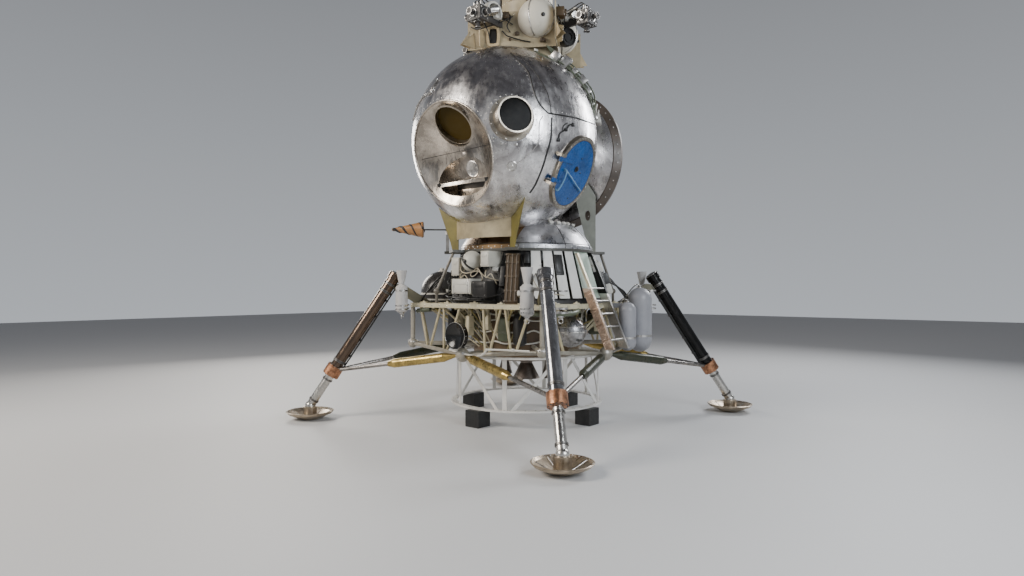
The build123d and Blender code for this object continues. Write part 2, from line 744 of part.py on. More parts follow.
def fin_plane():
    """Origin under the tip of the front right fin, x along the fin, y up."""
    heading = facing(FIN_HEADING, 0)
    across = heading.cross(Vector(0, 0, 1))
    return Plane(origin=polar(FIN_REACH, FIN_AZIMUTH, 0), x_dir=heading, z_dir=across)


def front_fin():
    """The pointed sheet fin that rises from the support ring and hugs the cabin."""
    outline = (
        (-35, RING_TOP),
        (45, RING_TOP),
        (65, 2010),
        (350, 2760),
        (250, 2790),
        (-62, 2400),
        (-62, 2060),
        (-35, 2050),
    )
    fin = extrude(fin_plane() * Polygon(*outline, align=None), amount=FIN_THICKNESS / 2, both=True)
    fin -= oval(HATCH_FRAME_WALL + SEAT, HATCH_FACE_DISTANCE - HATCH_FRAME_DEPTH, HATCH_FACE_DISTANCE + SEAT)
    return fin - cabin_ball(CABIN_RADIUS + SEAT)


def front_band():
    """The curved sheet between the two front fins, cut to the underside of the cabin."""
    band = drum(BAND_RADIUS + BAND_THICKNESS / 2, BAND_BOTTOM, 2500)
    band -= drum(BAND_RADIUS - BAND_THICKNESS / 2, BAND_BOTTOM - 1, 2501)
    band &= block((-BAND_RADIUS, -2 * BAND_RADIUS, BAND_BOTTOM), (BAND_RADIUS, -500, 2500))
    band -= cabin_ball(CABIN_RADIUS + SEAT)
    gap = FIN_THICKNESS / 2 + SEAT
    beyond = fin_plane() * block((-600, 1500, -900), (900, 3000, gap))
    band -= beyond
    band -= mirror(beyond, about=Plane.YZ)
    return band


def rear_bracket():
    """A flat bracket with an oval hole, from the support ring up to the instrument bay."""
    outline = (
        (773, RING_TOP),
        (834, RING_TOP),
        (834, 2600),
        (720, 2780),
        (550, 2780),
        (590, 2600),
        (612, 2470),
        (700, 2134),
        (735, 2060),
        (773, 1985),
    )
    plate = radial_plate(outline, REAR_BRACKET_THICKNESS)
    hole = RADIAL * Pos(738, 2365) * Ellipse(32, 60)
    plate -= extrude(hole, amount=REAR_BRACKET_THICKNESS, both=True)
    keep_out = bay_plane() * drum(FLANGE_RADIUS + SEAT, BAY_FRONT - SEAT, BAY_REAR + SEAT)
    plate = at_azimuth(REAR_BRACKET_AZIMUTH, plate) - cabin_ball(CABIN_RADIUS + SEAT)
    return plate - keep_out


def support_ring():
    """The round plate under the cabin with ears for the brackets and the antenna."""
    ring = drum(RING_RADIUS, RING_BOTTOM, RING_TOP)
    for azimuth in (FIN_AZIMUTH, -FIN_AZIMUTH, REAR_BRACKET_AZIMUTH, -REAR_BRACKET_AZIMUTH):
        ear = block((-EAR_HALF_WIDTH, -EAR_REACH, RING_BOTTOM), (EAR_HALF_WIDTH, -600, RING_TOP))
        ring += at_azimuth(azimuth, ear)
    antenna_reach = ANTENNA_HINGE_REACH + ANTENNA_EAR_MARGIN
    antenna_ear = block((-45, -antenna_reach, RING_BOTTOM), (45, -600, RING_TOP))
    return ring + at_azimuth(ANTENNA_AZIMUTH, antenna_ear)


def stage_skirt():
    """The domed skirt over the rocket block, dished where the cabin sinks into it."""
    shoulder = RING_TOP + SKIRT_BAND
    inside = SKIRT_RADIUS - SKIRT_WALL
    inner_top = (SKIRT_TOP_RADIUS - SKIRT_WALL, SKIRT_TOP - SKIRT_WALL)
    bulge = ((SKIRT_RADIUS + SKIRT_TOP_RADIUS) / 2 + SKIRT_BULGE, (shoulder + SKIRT_TOP) / 2 + SKIRT_BULGE)
    inner_bulge = (bulge[0] - SKIRT_WALL * 0.8, bulge[1] - SKIRT_WALL * 0.6)
    section = Polyline(
        (inside, shoulder),
        (inside, RING_TOP),
        (SKIRT_RADIUS, RING_TOP),
        (SKIRT_RADIUS, shoulder),
    )
    section += ThreePointArc((SKIRT_RADIUS, shoulder), bulge, (SKIRT_TOP_RADIUS, SKIRT_TOP))
    section += Line((SKIRT_TOP_RADIUS, SKIRT_TOP), inner_top)
    section += ThreePointArc(inner_top, inner_bulge, (inside, shoulder))
    skirt = revolve(RADIAL * make_face(section), Axis.Z)
    return skirt - cabin_ball(CABIN_RADIUS + SEAT)


# Landing stage


def rocket_block():
    """The rocket unit as one plain mass, with its rounded underside."""
    edge = Polyline(
        (0, BLOCK_BOTTOM - BLOCK_DOME),
        (0, RING_BOTTOM),
        (BLOCK_RADIUS, RING_BOTTOM),
        (BLOCK_RADIUS, BLOCK_BOTTOM),
    )
    return revolve(RADIAL * make_face(edge + dome_arc(BLOCK_RADIUS, BLOCK_BOTTOM, -BLOCK_DOME)), Axis.Z)


def bell(throat, mouth, length, wall):
    """A nozzle bell pointing down from the local origin."""
    outside = (
        (throat + wall, 0),
        (mouth + wall, -length),
        (mouth, -length),
        (throat, -wall),
        (0, -wall),
        (0, 0),
    )
    return revolve(Plane.XZ * Polygon(*outside, align=None), Axis.Z)


def engine_nozzles():
    """The main nozzle and the two small backup nozzles under the rocket block."""
    underside = rocket_block()
    nozzles = []
    for x, throat, mouth, length in NOZZLES:
        neck = drum(throat + NOZZLE_NECK_WALL, -1, NOZZLE_NECK_TOP)
        nozzle = bell(throat, mouth, length, NOZZLE_WALL) + neck
        nozzles.append(Pos(x, 0, BLOCK_BOTTOM - BLOCK_DOME - NOZZLE_DROP) * nozzle - underside)
    return nozzles


def deck():
    """The square deck with its bore for the rocket block and its notches."""
    low = (-DECK_HALF_WIDTH, -DECK_HALF_WIDTH, DECK_BOTTOM)
    high = (DECK_HALF_WIDTH, DECK_HALF_WIDTH, DECK_TOP)
    plate = block(low, high)
    plate = chamfer(plate.edges().filter_by(Axis.Z), 45)
    plate -= drum(BLOCK_RADIUS + SEAT, DECK_BOTTOM - 1, DECK_TOP + 1)
    ladder_way = radial_plate(ladder_outline(SEAT), 2 * (LADDER_HALF_WIDTH + LADDER_STRINGER / 2 + SEAT))
    return plate - at_azimuth(LADDER_AZIMUTH, ladder_way)


def octagon_point(offset):
    """A point on the lower frame's tube at azimuth 0, by its offset along the face."""
    half = LEG_NODE_REACH * sin(radians(45))
    share = abs(offset) / half
    depth = CORNER_REACH + (half - CORNER_REACH) * share
    return Vector(offset, -depth, CORNER_HEIGHT + (LEG_NODE_HEIGHT - CORNER_HEIGHT) * share)


def lower_frame():
    """The ball fittings, perimeter tubes, radial arms and corner posts."""
    pieces = []
    for azimuth in CORNER_AZIMUTHS:
        corner = polar(CORNER_REACH, azimuth, CORNER_HEIGHT)
        pieces.append(ball(corner, CORNER_BALL))
        inner = polar(BLOCK_RADIUS - ARM_TUBE, azimuth, CORNER_HEIGHT)
        pieces.append(rod(inner, corner, ARM_TUBE, 0, CORNER_BALL + SEAT) - rocket_keep_out())
        for side in (-45, 45):
            leg_node = polar(LEG_NODE_REACH, azimuth + side, LEG_NODE_HEIGHT)
            pieces.append(rod(corner, leg_node, FRAME_TUBE, CORNER_BALL + SEAT, LEG_NODE_BALL + SEAT))
    for azimuth in LEG_AZIMUTHS:
        leg_node = polar(LEG_NODE_REACH, azimuth, LEG_NODE_HEIGHT)
        pieces.append(ball(leg_node, LEG_NODE_BALL))
        inner = polar(BLOCK_RADIUS - FRAME_TUBE, azimuth, LEG_NODE_HEIGHT)
        pieces.append(rod(inner, leg_node, FRAME_TUBE, 0, LEG_NODE_BALL + SEAT) - rocket_keep_out())
        top = polar(LEG_NODE_REACH, azimuth, DECK_BOTTOM)
        pieces.append(rod(leg_node, top, POST_RADIUS, LEG_NODE_BALL + SEAT, 0))
    return pieces


def rocket_keep_out():
    return drum(BLOCK_RADIUS + SEAT, BLOCK_BOTTOM, RING_BOTTOM)


def deck_lattice():
    """The struts between the deck and the lower frame on all four faces."""
    struts = []
    half = LEG_NODE_REACH * sin(radians(45))
    deck_plate = block((-2000, -2000, DECK_BOTTOM), (2000, 2000, DECK_TOP))
    for top, foot, missing_face in LATTICE:
        head = Vector(top, -LATTICE_DEPTH, DECK_BOTTOM + 15)
        strut = rod(octagon_point(foot), head, LATTICE_RADIUS) - deck_plate
        end = half if foot > 0 else -half
        strut -= rod(octagon_point(0), octagon_point(end), FRAME_TUBE + SEAT)
        faces = [azimuth for azimuth in CORNER_AZIMUTHS if azimuth != missing_face]
        struts += [at_azimuth(azimuth, strut) for azimuth in faces]
    return struts


def slant_strut(foot_reach):
    """A strut at azimuth 0 from the support ring to a ball fitting that stands on the deck."""
    head = Vector(0, -SLANT_HEAD_REACH, RING_BOTTOM + 8)
    foot = Vector(0, -foot_reach, DECK_TOP + SLANT_FOOT_RISE)
    strut = rod(foot, head, SLANT_RADIUS) - block((-100, -2000, RING_BOTTOM), (100, 0, RING_TOP))
    post = Pos(0, -foot_reach, 0) * drum(SLANT_RADIUS, DECK_TOP, foot.Z)
    return strut + ball(foot, SLANT_BALL) + post


def slant_struts():
    return [at_azimuth(azimuth, slant_strut(reach)) for azimuth, reach in SLANTS]


def wall_body(grow):
    return turned((
        (0, DECK_TOP),
        (WALL_BOTTOM_RADIUS + grow, DECK_TOP),
        (WALL_TOP_RADIUS + grow, RING_BOTTOM),
        (0, RING_BOTTOM),
    ))


def equipment_wall():
    """The dark conical wall round the rocket block that the equipment stands on."""
    return wall_body(0) - wall_body(-WALL_THICKNESS)


def louvre(azimuth, width):
    """One flat strip that follows the cone, with its ends cut level."""
    half_turn = radians(width / 2)
    top_half = LOUVRE_TOP_RADIUS * sin(half_turn)
    bottom_half = LOUVRE_BOTTOM_RADIUS * sin(half_turn)
    top = LOUVRE_TOP_RADIUS * cos(half_turn)
    bottom = LOUVRE_BOTTOM_RADIUS * cos(half_turn)
    thick = LOUVRE_THICKNESS
    lower = Polyline(
        (-bottom_half, -bottom),
        (bottom_half, -bottom),
        (bottom_half, -bottom - thick),
        (-bottom_half, -bottom - thick),
        close=True,
    )
    upper = Polyline(
        (-top_half, -top),
        (top_half, -top),
        (top_half, -top - thick),
        (-top_half, -top - thick),
        close=True,
    )
    sections = [Pos(0, 0, LOUVRE_BOTTOM) * make_face(lower), Pos(0, 0, RING_BOTTOM) * make_face(upper)]
    return at_azimuth(azimuth, loft(sections, ruled=True))


def ladder_outline(grow):
    """Side view of a ladder stringer as (reach, height) points."""
    top = Vector(LADDER_TOP[0], LADDER_TOP[1])
    bottom = Vector(LADDER_BOTTOM[0], LADDER_BOTTOM[1])
    half = LADDER_STRINGER / 2 + grow
    lean = (bottom - top).normalized()
    out = half / -lean.Y
    step = top.X + (top.Y - LADDER_STEP_HEIGHT) * lean.X / -lean.Y - out
    return (
        (top.X - out, top.Y),
        (top.X + out, top.Y),
        (bottom.X + out, bottom.Y),
        (bottom.X - out - LADDER_STEP_DEPTH, bottom.Y),
        (step - LADDER_STEP_DEPTH, LADDER_STEP_HEIGHT + grow),
        (step, LADDER_STEP_HEIGHT + grow),
    )


def ladder():
    """Two stringers and the rungs seated between them."""
    stringer = radial_plate(ladder_outline(0), LADDER_STRINGER)
    pieces = [Pos(-LADDER_HALF_WIDTH, 0, 0) * stringer, Pos(LADDER_HALF_WIDTH, 0, 0) * stringer]
    rung_end = LADDER_HALF_WIDTH - LADDER_STRINGER / 2 - SEAT
    slope = (LADDER_TOP[0] - LADDER_BOTTOM[0]) / (LADDER_TOP[1] - LADDER_BOTTOM[1])
    for index in range(RUNG_COUNT):
        rise = RUNG_FOOT + RUNG_PITCH * index
        reach = LADDER_BOTTOM[0] + rise * slope
        rung = along_x(RUNG_RADIUS, -rung_end, rung_end)
        pieces.append(Pos(0, -reach, LADDER_BOTTOM[1] + rise) * rung)
    return [at_azimuth(LADDER_AZIMUTH, piece) for piece in pieces]


def equipment_boxes():
    """Boxes and a small round tank fixed to the equipment wall at the front and the rear."""
    wall = wall_body(SEAT)
    pieces = []
    for x, height, width, tall, stand_off in BOXES:
        low = (x - width / 2, -WALL_TOP_RADIUS - stand_off, height - tall / 2)
        high = (x + width / 2, -BLOCK_RADIUS, height + tall / 2)
        box = block(low, high) - wall
        pieces.append(box)
        pieces.append(at_azimuth(180, box))
    x, height, radius, stand_off = SMALL_TANK
    pieces.append(ball((x, -WALL_TOP_RADIUS - stand_off, height), radius) - wall)
    pieces.append(equipment_column())
    return pieces


def equipment_column():
    """The tall bronze column beside the louvres, which follows the wall."""
    low = (-COLUMN_HALF_WIDTH, -2 * WALL_BOTTOM_RADIUS, DECK_TOP)
    column = (wall_body(COLUMN_DEPTH) - wall_body(SEAT)) & block(low, (COLUMN_HALF_WIDTH, 0, COLUMN_TOP))
    return at_azimuth(COLUMN_AZIMUTH, column)


# Tanks and capsules at the sides


def capsule(radius, bottom, top):
    """An upright capsule with domed ends on the local z axis."""
    return drum(radius, bottom, top) + Pos(0, 0, bottom) * Sphere(radius) + Pos(0, 0, top) * Sphere(radius)


def side_tank():
    """The dark domed tank that stands on the left edge of the deck."""
    top = SIDE_TANK_SHOULDER + SIDE_TANK_RADIUS
    edge = Polyline(
        (0, top),
        (0, DECK_TOP),
        (SIDE_TANK_RADIUS, DECK_TOP),
        (SIDE_TANK_RADIUS, SIDE_TANK_SHOULDER),
    )
    section = make_face(edge + dome_arc(SIDE_TANK_RADIUS, SIDE_TANK_SHOULDER, SIDE_TANK_RADIUS))
    tank = Pos(*polar(SIDE_TANK_REACH, SIDE_TANK_AZIMUTH, 0)) * revolve(RADIAL * section, Axis.Z)
    return tank - wall_body(SEAT)


def sphere_tank():
    """The bare round tank hung under the deck at the right."""
    middle = polar(SPHERE_TANK_REACH, SPHERE_TANK_AZIMUTH, SPHERE_TANK_HEIGHT)
    neck = rod(middle, Vector(middle.X, middle.Y, DECK_BOTTOM), SPHERE_TANK_NECK)
    return ball(middle, SPHERE_TANK_RADIUS) + neck


def grey_capsules():
    """Grey capsules held to the edge of the deck by a lug."""
    edge = block((-DECK_HALF_WIDTH - SEAT, -3000, 0), (DECK_HALF_WIDTH + SEAT, 3000, 3000))
    pieces = []
    for azimuth, reach, radius, bottom, top in CAPSULES:
        centre = polar(reach, azimuth, 0)
        lug = block((DECK_HALF_WIDTH, centre.Y - 35, DECK_BOTTOM), (centre.X, centre.Y + 35, DECK_TOP))
        body = Pos(*centre) * capsule(radius, bottom, top) + (lug - edge)
        pieces.append(body)
    return pieces


def radar_dish():
    """The black landing radar dish on its post, facing forward."""
    foot = polar(CORNER_REACH, 0, CORNER_HEIGHT)
    forward = Rot(90, 0, 0)
    rim_back = -CORNER_REACH - RADAR_RIM_DEPTH
    post_top = Vector(0, -CORNER_REACH, RADAR_HEIGHT)
    post = rod(foot, post_top, RADAR_POST_RADIUS, CORNER_BALL + SEAT, 0)
    head = forward * drum(RADAR_HEAD_RADIUS, 0, RADAR_HEAD_LENGTH)
    head = Pos(0, -CORNER_REACH + RADAR_HEAD_INSET, RADAR_HEIGHT) * head
    rim = Pos(0, rim_back, RADAR_HEIGHT) * forward * drum(RADAR_RADIUS, 0, RADAR_RIM_DEPTH)
    hollow = Pos(0, rim_back - RADAR_BOWL_OFFSET, RADAR_HEIGHT) * Sphere(RADAR_BOWL_RADIUS)
    return post + head + (rim - hollow)


# Legs


def leg_line():
    """Top and foot of a leg at azimuth 0, and the unit vector down it."""
    top = Vector(0, -LEG_TOP[0], LEG_TOP[1])
    foot = Vector(0, -FOOT_REACH, FOOT_BALL_HEIGHT)
    return top, foot, (foot - top).normalized()


def knee():
    top, foot, down = leg_line()
    return top + (foot - top) * KNEE_SHARE


def leg_tube():
    """The upper tube with its head."""
    top, foot, down = leg_line()
    tube = rod(top, knee(), LEG_TUBE, 0, COLLAR_HALF_LENGTH)
    head = rod(top, top + down * LEG_HEAD_LENGTH, LEG_HEAD)
    return tube + head


def knee_collar():
    top, foot, down = leg_line()
    middle = knee()
    return rod(middle - down * COLLAR_HALF_LENGTH, middle + down * COLLAR_HALF_LENGTH, COLLAR_RADIUS)


def leg_piston():
    """The lower tube with the ball that stands in the footpad."""
    top, foot, down = leg_line()
    tube = rod(knee(), foot, PISTON_RADIUS, COLLAR_HALF_LENGTH, 0)
    return tube + ball(foot, FOOT_BALL)


def footpad():
    """The dished pad with its hub and the cup for the ball."""
    outline = (
        (0, 0),
        (PAD_BASE, 0),
        (PAD_RADIUS - 25, PAD_RIM - 33),
        (PAD_RADIUS, PAD_RIM - 4),
        (PAD_RADIUS - 9, PAD_RIM),
        (PAD_RADIUS - 33, PAD_RIM - 33 + PAD_SKIN),
        (PAD_BASE + 2, PAD_SKIN),
        (PAD_HUB, PAD_SKIN),
        (PAD_HUB, PAD_HUB_TOP),
        (0, PAD_HUB_TOP),
    )
    pad = Pos(0, -FOOT_REACH, 0) * turned(outline)
    return pad - ball((0, -FOOT_REACH, FOOT_BALL_HEIGHT), FOOT_BALL + SEAT)


def leg_bracket():
    """The gusset from the deck's corner up to the leg tube."""
    top, foot, down = leg_line()
    back = Vector(0, -down.Z, down.Y)
    upper = top + down * (LEG_HEAD_LENGTH + 25) + back * (LEG_TUBE + SEAT)
    lower = top + down * 160 + back * (LEG_TUBE + SEAT)
    outline = (
        (1100, DECK_TOP),
        (1320, DECK_TOP),
        (-lower.Y, lower.Z),
        (-upper.Y, upper.Z),
        (-upper.Y - 60, upper.Z + 10),
    )
    return radial_plate(outline, BRACKET_THICKNESS)


def side_strut(leg_azimuth, corner_azimuth):
    """One side strut, as its tapered cylinder and its rod."""
    corner = polar(CORNER_REACH, corner_azimuth, CORNER_HEIGHT)
    bend = at_azimuth(leg_azimuth, Location(tuple(knee()))).position
    length = (bend - corner).length
    start = CORNER_BALL + SEAT
    end = length * STRUT_SHARE
    stations = (
        (start, STRUT_ROOT),
        (start + STRUT_TAPER, STRUT_RADIUS),
        (end - STRUT_TAPER / 2, STRUT_RADIUS),
        (end, STRUT_ROD + 8),
    )
    cylinder = spindle(corner, bend, stations)
    keep_out = at_azimuth(leg_azimuth, leg_keep_out())
    slim = rod(corner, bend, STRUT_ROD, end, 0) - keep_out
    return cylinder, slim


def leg_keep_out():
    """The knee collar and the tube above it, each grown by a seat gap."""
    top, foot, down = leg_line()
    middle = knee()
    reach = down * (COLLAR_HALF_LENGTH + SEAT)
    return rod(middle - reach, middle + reach, COLLAR_RADIUS + SEAT) + rod(top, middle, LEG_TUBE + SEAT)


def hold_down_motor(side):
    """A motor at azimuth 0, beside the leg's head, with the arm to the leg bracket."""
    x = side * MOTOR_OFFSET
    upright = (Align.CENTER, Align.CENTER, Align.MIN)
    foot = Cone(MOTOR_FOOT_RADIUS, MOTOR_RADIUS, MOTOR_END, align=upright)
    neck = Cone(MOTOR_RADIUS, MOTOR_NECK_RADIUS, MOTOR_NECK_LENGTH, align=upright)
    nozzle = Cone(MOTOR_THROAT, MOTOR_MOUTH, MOTOR_NOZZLE_TOP - MOTOR_TOP, align=upright)
    body = drum(MOTOR_RADIUS, MOTOR_BOTTOM + MOTOR_END, MOTOR_TOP - MOTOR_END)
    body += Pos(0, 0, MOTOR_BOTTOM) * foot
    body += Pos(0, 0, MOTOR_TOP - MOTOR_END) * neck
    body += Pos(0, 0, MOTOR_TOP) * nozzle
    body = Pos(x, -MOTOR_REACH, 0) * body
    near = side * (BRACKET_THICKNESS / 2 + SEAT)
    low = (min(near, x), -MOTOR_REACH - MOTOR_ARM_HALF_WIDTH, MOTOR_ARM_BOTTOM)
    high = (max(near, x), -MOTOR_REACH + MOTOR_ARM_HALF_WIDTH, MOTOR_ARM_TOP)
    return body + block(low, high)


# Antenna


def antenna_bracket():
    """The post on the ring's ear and the upright hinge pin."""
    eye_bottom = ANTENNA_HEIGHT - ANTENNA_EYE_HEIGHT / 2
    eye_top = ANTENNA_HEIGHT + ANTENNA_EYE_HEIGHT / 2
    y = -ANTENNA_HINGE_REACH
    post = block((-18, y - 18, RING_TOP), (18, y + 18, eye_bottom - 40))
    post += Pos(0, y, 0) * drum(ANTENNA_EYE, eye_bottom - 40, eye_bottom - 1)
    post += Pos(0, y, 0) * drum(ANTENNA_PIN, eye_bottom - 2, eye_top + 12)
    post += Pos(0, y, 0) * drum(ANTENNA_EYE - 4, eye_top + 1, eye_top + 12)
    return at_azimuth(ANTENNA_AZIMUTH, post)


def antenna_boom():
    """The rod with the eye that turns on the pin."""
    y = -ANTENNA_HINGE_REACH
    half = ANTENNA_EYE_HEIGHT / 2
    eye = Pos(0, y, 0) * drum(ANTENNA_EYE, ANTENNA_HEIGHT - half, ANTENNA_HEIGHT + half)
    start = Vector(0, y, ANTENNA_HEIGHT)
    eye += rod(start, Vector(0, -CONE_START, ANTENNA_HEIGHT), BOOM_RADIUS)
    hole = drum(ANTENNA_PIN + PIN_GAP, ANTENNA_HEIGHT - half - 1, ANTENNA_HEIGHT + half + 1)
    return at_azimuth(ANTENNA_AZIMUTH, eye - Pos(0, y, 0) * hole)


def antenna_cone():
    start = Vector(0, -CONE_START, ANTENNA_HEIGHT)
    end = Vector(0, -CONE_END, ANTENNA_HEIGHT)
    stations = ((0, CONE_RADIUS - 8), (10, CONE_RADIUS), (CONE_END - CONE_START, CONE_TIP))
    return at_azimuth(ANTENNA_AZIMUTH, spindle(start, end, stations))


# Display ring


def stand_ring(bottom):
    outer = STAND_RADIUS + STAND_RING_WIDTH / 2
    inner = STAND_RADIUS - STAND_RING_WIDTH / 2
    ring = drum(outer, bottom, bottom + STAND_RING_THICKNESS)
    return ring - drum(inner, bottom - 1, bottom + STAND_RING_THICKNESS + 1)


def stand_bar(start_azimuth, end_azimuth):
    """A flat bar from the lower ring to the upper ring, its ends cut level."""
    bottom = STAND_FOOT_HEIGHT + STAND_RING_THICKNESS
    top = STAND_TOP - STAND_RING_THICKNESS
    start = polar(STAND_RADIUS, start_azimuth, 0)
    end = polar(STAND_RADIUS, end_azimuth, 0)
    way = end - start
    run = way.length
    if run < 1:
        way = polar(1, start_azimuth + 90, 0)
    half = STAND_BAR_WIDTH / 2
    plane = Plane(origin=start, x_dir=way, z_dir=way.cross(Vector(0, 0, 1)))
    outline = ((-half, bottom), (half, bottom), (run + half, top), (run - half, top))
    return extrude(plane * Polygon(*outline, align=None), amount=STAND_BAR_THICKNESS / 2, both=True)


def stand_lattice():
    """Eight posts and a diagonal in each field, leaning by turns."""
    bars = []
    for index in range(8):
        azimuth = 22.5 + 45 * index
        bars.append(stand_bar(azimuth, azimuth))
        low, high = (6, 39) if index % 2 == 0 else (39, 6)
        bars.append(stand_bar(azimuth + low, azimuth + high))
    return bars


def stand_feet():
    half = STAND_FOOT_WIDTH / 2
    low = (-half, -STAND_RADIUS - half, 0)
    high = (half, -STAND_RADIUS + half, STAND_FOOT_HEIGHT)
    return [at_azimuth(azimuth, block(low, high)) for azimuth in CORNER_AZIMUTHS]


def main():
    os.makedirs("parts", exist_ok=True)
    front, right, left, top = cabin_panels()
    save("cabin_front_shell", front)
    save("cabin_right_shell", right)
    save("cabin_left_shell", left)
    save("cabin_top_shell", top)
    save("window_dish", dish_panel())
    landing_frame, landing_glass = landing_window()
    port_frame, port_glass = side_port()
    save("window_frames", landing_frame, port_frame)
    save("window_glass", landing_glass, port_glass)
    save("hatch_frame", hatch_frame())
    save("hatch_door", hatch_door())
    save("cabin_floor", cabin_floor())
    save("control_console", control_console())
    save("instrument_bay", instrument_bay())
    save("bay_flange", bay_flange())
    save("rcs_housing", rcs_housing())
    save("rcs_plates", *rcs_plates())
    save("rcs_tanks", *rcs_tanks())
    save("thruster_pods", *[at_azimuth(azimuth, thruster_pod()) for azimuth in POD_AZIMUTHS])
    save("docking_plate", docking_plate())
    fin = front_fin()
    save("front_fins", fin, mirror(fin, about=Plane.YZ))
    save("front_band", front_band())
    bracket = rear_bracket()
    save("rear_brackets", bracket, mirror(bracket, about=Plane.YZ))
    save("support_ring", support_ring())
    save("stage_skirt", stage_skirt())
    save("rocket_block", rocket_block())
    save("engine_nozzles", *engine_nozzles())
    save("deck", deck())
    save("lower_frame", *lower_frame())
    save("deck_lattice", *deck_lattice())
    save("slant_struts", *slant_struts())
    save("equipment_wall", equipment_wall())
    save("louvre_strips", *[louvre(azimuth, width) for azimuth, width in LOUVRES])
    save("side_panel", louvre(*SIDE_PANEL))
    save("ladder", *ladder())
    save("equipment_boxes", *equipment_boxes())
    save("side_tank", side_tank())
    save("sphere_tank", sphere_tank())
    save("grey_capsules", *grey_capsules())
    save("radar_dish", radar_dish())
    legs = LEG_AZIMUTHS
    save("leg_tubes", *[at_azimuth(azimuth, leg_tube()) for azimuth in legs])
    save("knee_collars", *[at_azimuth(azimuth, knee_collar()) for azimuth in legs])
    save("leg_pistons", *[at_azimuth(azimuth, leg_piston()) for azimuth in legs])
    save("footpads", *[at_azimuth(azimuth, footpad()) for azimuth in legs])
    save("leg_brackets", *[at_azimuth(azimuth, leg_bracket()) for azimuth in legs])
    pairs = [side_strut(azimuth, azimuth + side) for azimuth in legs for side in (-45, 45)]
    save("side_struts", *[cylinder for cylinder, slim in pairs])
    save("strut_rods", *[slim for cylinder, slim in pairs])
    motors = []
    for azimuth, side in ((45, -1), (-45, 1), (135, 1), (225, -1)):
        motors.append(at_azimuth(azimuth, hold_down_motor(side)))
    save("hold_down_motors", *motors)
    save("antenna_bracket", antenna_bracket())
    save("antenna_boom", antenna_boom())
    save("antenna_cone", antenna_cone())
    upper_ring = stand_ring(STAND_TOP - STAND_RING_THICKNESS)
    save("stand_rings", stand_ring(STAND_FOOT_HEIGHT), upper_ring)
    save("stand_lattice", *stand_lattice())
    save("stand_feet", *stand_feet())


main()
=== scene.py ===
"""Looks of the one-man lunar lander: finishes, small fittings, camera and studio, in metres."""
from functools import cache
from math import atan2, cos, degrees, pi, radians, sin
from random import Random

import bmesh
import bpy
from mathutils import Matrix, Vector


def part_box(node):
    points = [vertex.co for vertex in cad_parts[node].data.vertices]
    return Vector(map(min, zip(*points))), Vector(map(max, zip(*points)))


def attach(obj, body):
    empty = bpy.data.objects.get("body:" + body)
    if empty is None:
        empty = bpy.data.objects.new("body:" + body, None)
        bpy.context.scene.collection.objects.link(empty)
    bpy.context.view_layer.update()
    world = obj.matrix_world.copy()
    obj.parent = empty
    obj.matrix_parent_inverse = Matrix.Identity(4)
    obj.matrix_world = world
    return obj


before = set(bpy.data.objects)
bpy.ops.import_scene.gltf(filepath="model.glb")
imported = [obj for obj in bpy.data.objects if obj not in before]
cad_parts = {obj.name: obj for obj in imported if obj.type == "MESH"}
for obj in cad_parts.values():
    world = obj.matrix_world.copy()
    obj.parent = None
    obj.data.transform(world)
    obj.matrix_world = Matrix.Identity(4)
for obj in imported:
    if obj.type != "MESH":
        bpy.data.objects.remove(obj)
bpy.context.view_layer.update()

UP = (0, 0, 1)
DOWN = (0, 0, -1)
QUARTERS = (0, 90, 180, 270)
ABOVE = "GREATER_THAN"
BELOW = "LESS_THAN"

# Camera and floor
CAMERA_PLACE = (4.881, -6.188, 1.5)
CAMERA_HEADING = 39.5
CAMERA_LENS = 23.38
FLOOR_HALF = 30.0
FLOOR_GREY = 0.62

# Lamps: name, place, target, size, power and colour
LAMPS = (
    ("key_light", (-3.5, -8.5, 6.5), (0, -0.3, 2.6), 4.5, 900, (1.0, 0.93, 0.84)),
    ("fill_light", (8.5, -2.5, 4.5), (0, 0, 2.2), 4.0, 480, (0.88, 0.94, 1.0)),
    ("back_light", (2.5, 8.5, 6.5), (0, 0, 2.6), 4.0, 600, (0.95, 0.97, 1.0)),
    ("left_light", (-8.0, 1.5, 4.0), (0, 0, 2.0), 3.5, 300, (1.0, 0.96, 0.9)),
)

# The cabin ball
CABIN_CENTRE = Vector((0, -0.4, 3.147))
CABIN_RADIUS = 1.045

# Lines on the cabin ball, as azimuth and elevation from its centre
FRONT_SEAM = (
    (45.2, 48.9), (49.3, 40.7), (53.6, 34.6), (56.0, 27.6),
    (57.0, 18.2), (58.8, 12.1), (61.3, 8.4), (64.6, 5.4),
)
SECOND_SEAM = (
    (50.1, 49.2), (55.9, 39.4), (60.6, 30.4), (63.3, 23.5),
    (65.4, 17.9), (66.5, 11.3), (66.7, 6.2), (66.9, 4.8),
)
SIDE_SEAM = ((64.6, 5.4), (67.8, 5.2), (75.7, 5.3), (87.1, 5.7), (94.4, 5.8), (103.6, 6.4), (111, 7.5))
DOOR_SEAL = (
    (66.9, 3.1), (66.8, -2.1), (66.9, -7.0), (66.0, -12.4), (65.0, -17.4),
    (64.0, -23.6), (62.4, -31.2), (61.0, -36.1), (59.0, -40.1),
)
SHOULDER_LINE = ((50, 54), (65.1, 47.7), (82, 46), (100, 47))
PORT_WIRE = (
    (61.5, 3.3), (59.6, 0.1), (59.3, -4.9), (59.4, -10.3), (56.4, -15.3), (50.4, -21.0), (44.6, -24.4),
)
LEFT_CONDUIT = ((-12.0, 31.6), (-12.2, 22.7), (-23.6, 22.6), (-34.0, 19.0), (-39.0, 12.0))
HATCH_HOOK = ((71.5, -8.6), (72.2, -5.0), (76.4, -2.4), (79.0, 0.6), (82.0, 1.2))
HOOK_BRANCH = ((74.2, -4.0), (74.4, -0.8), (77.5, 1.4))

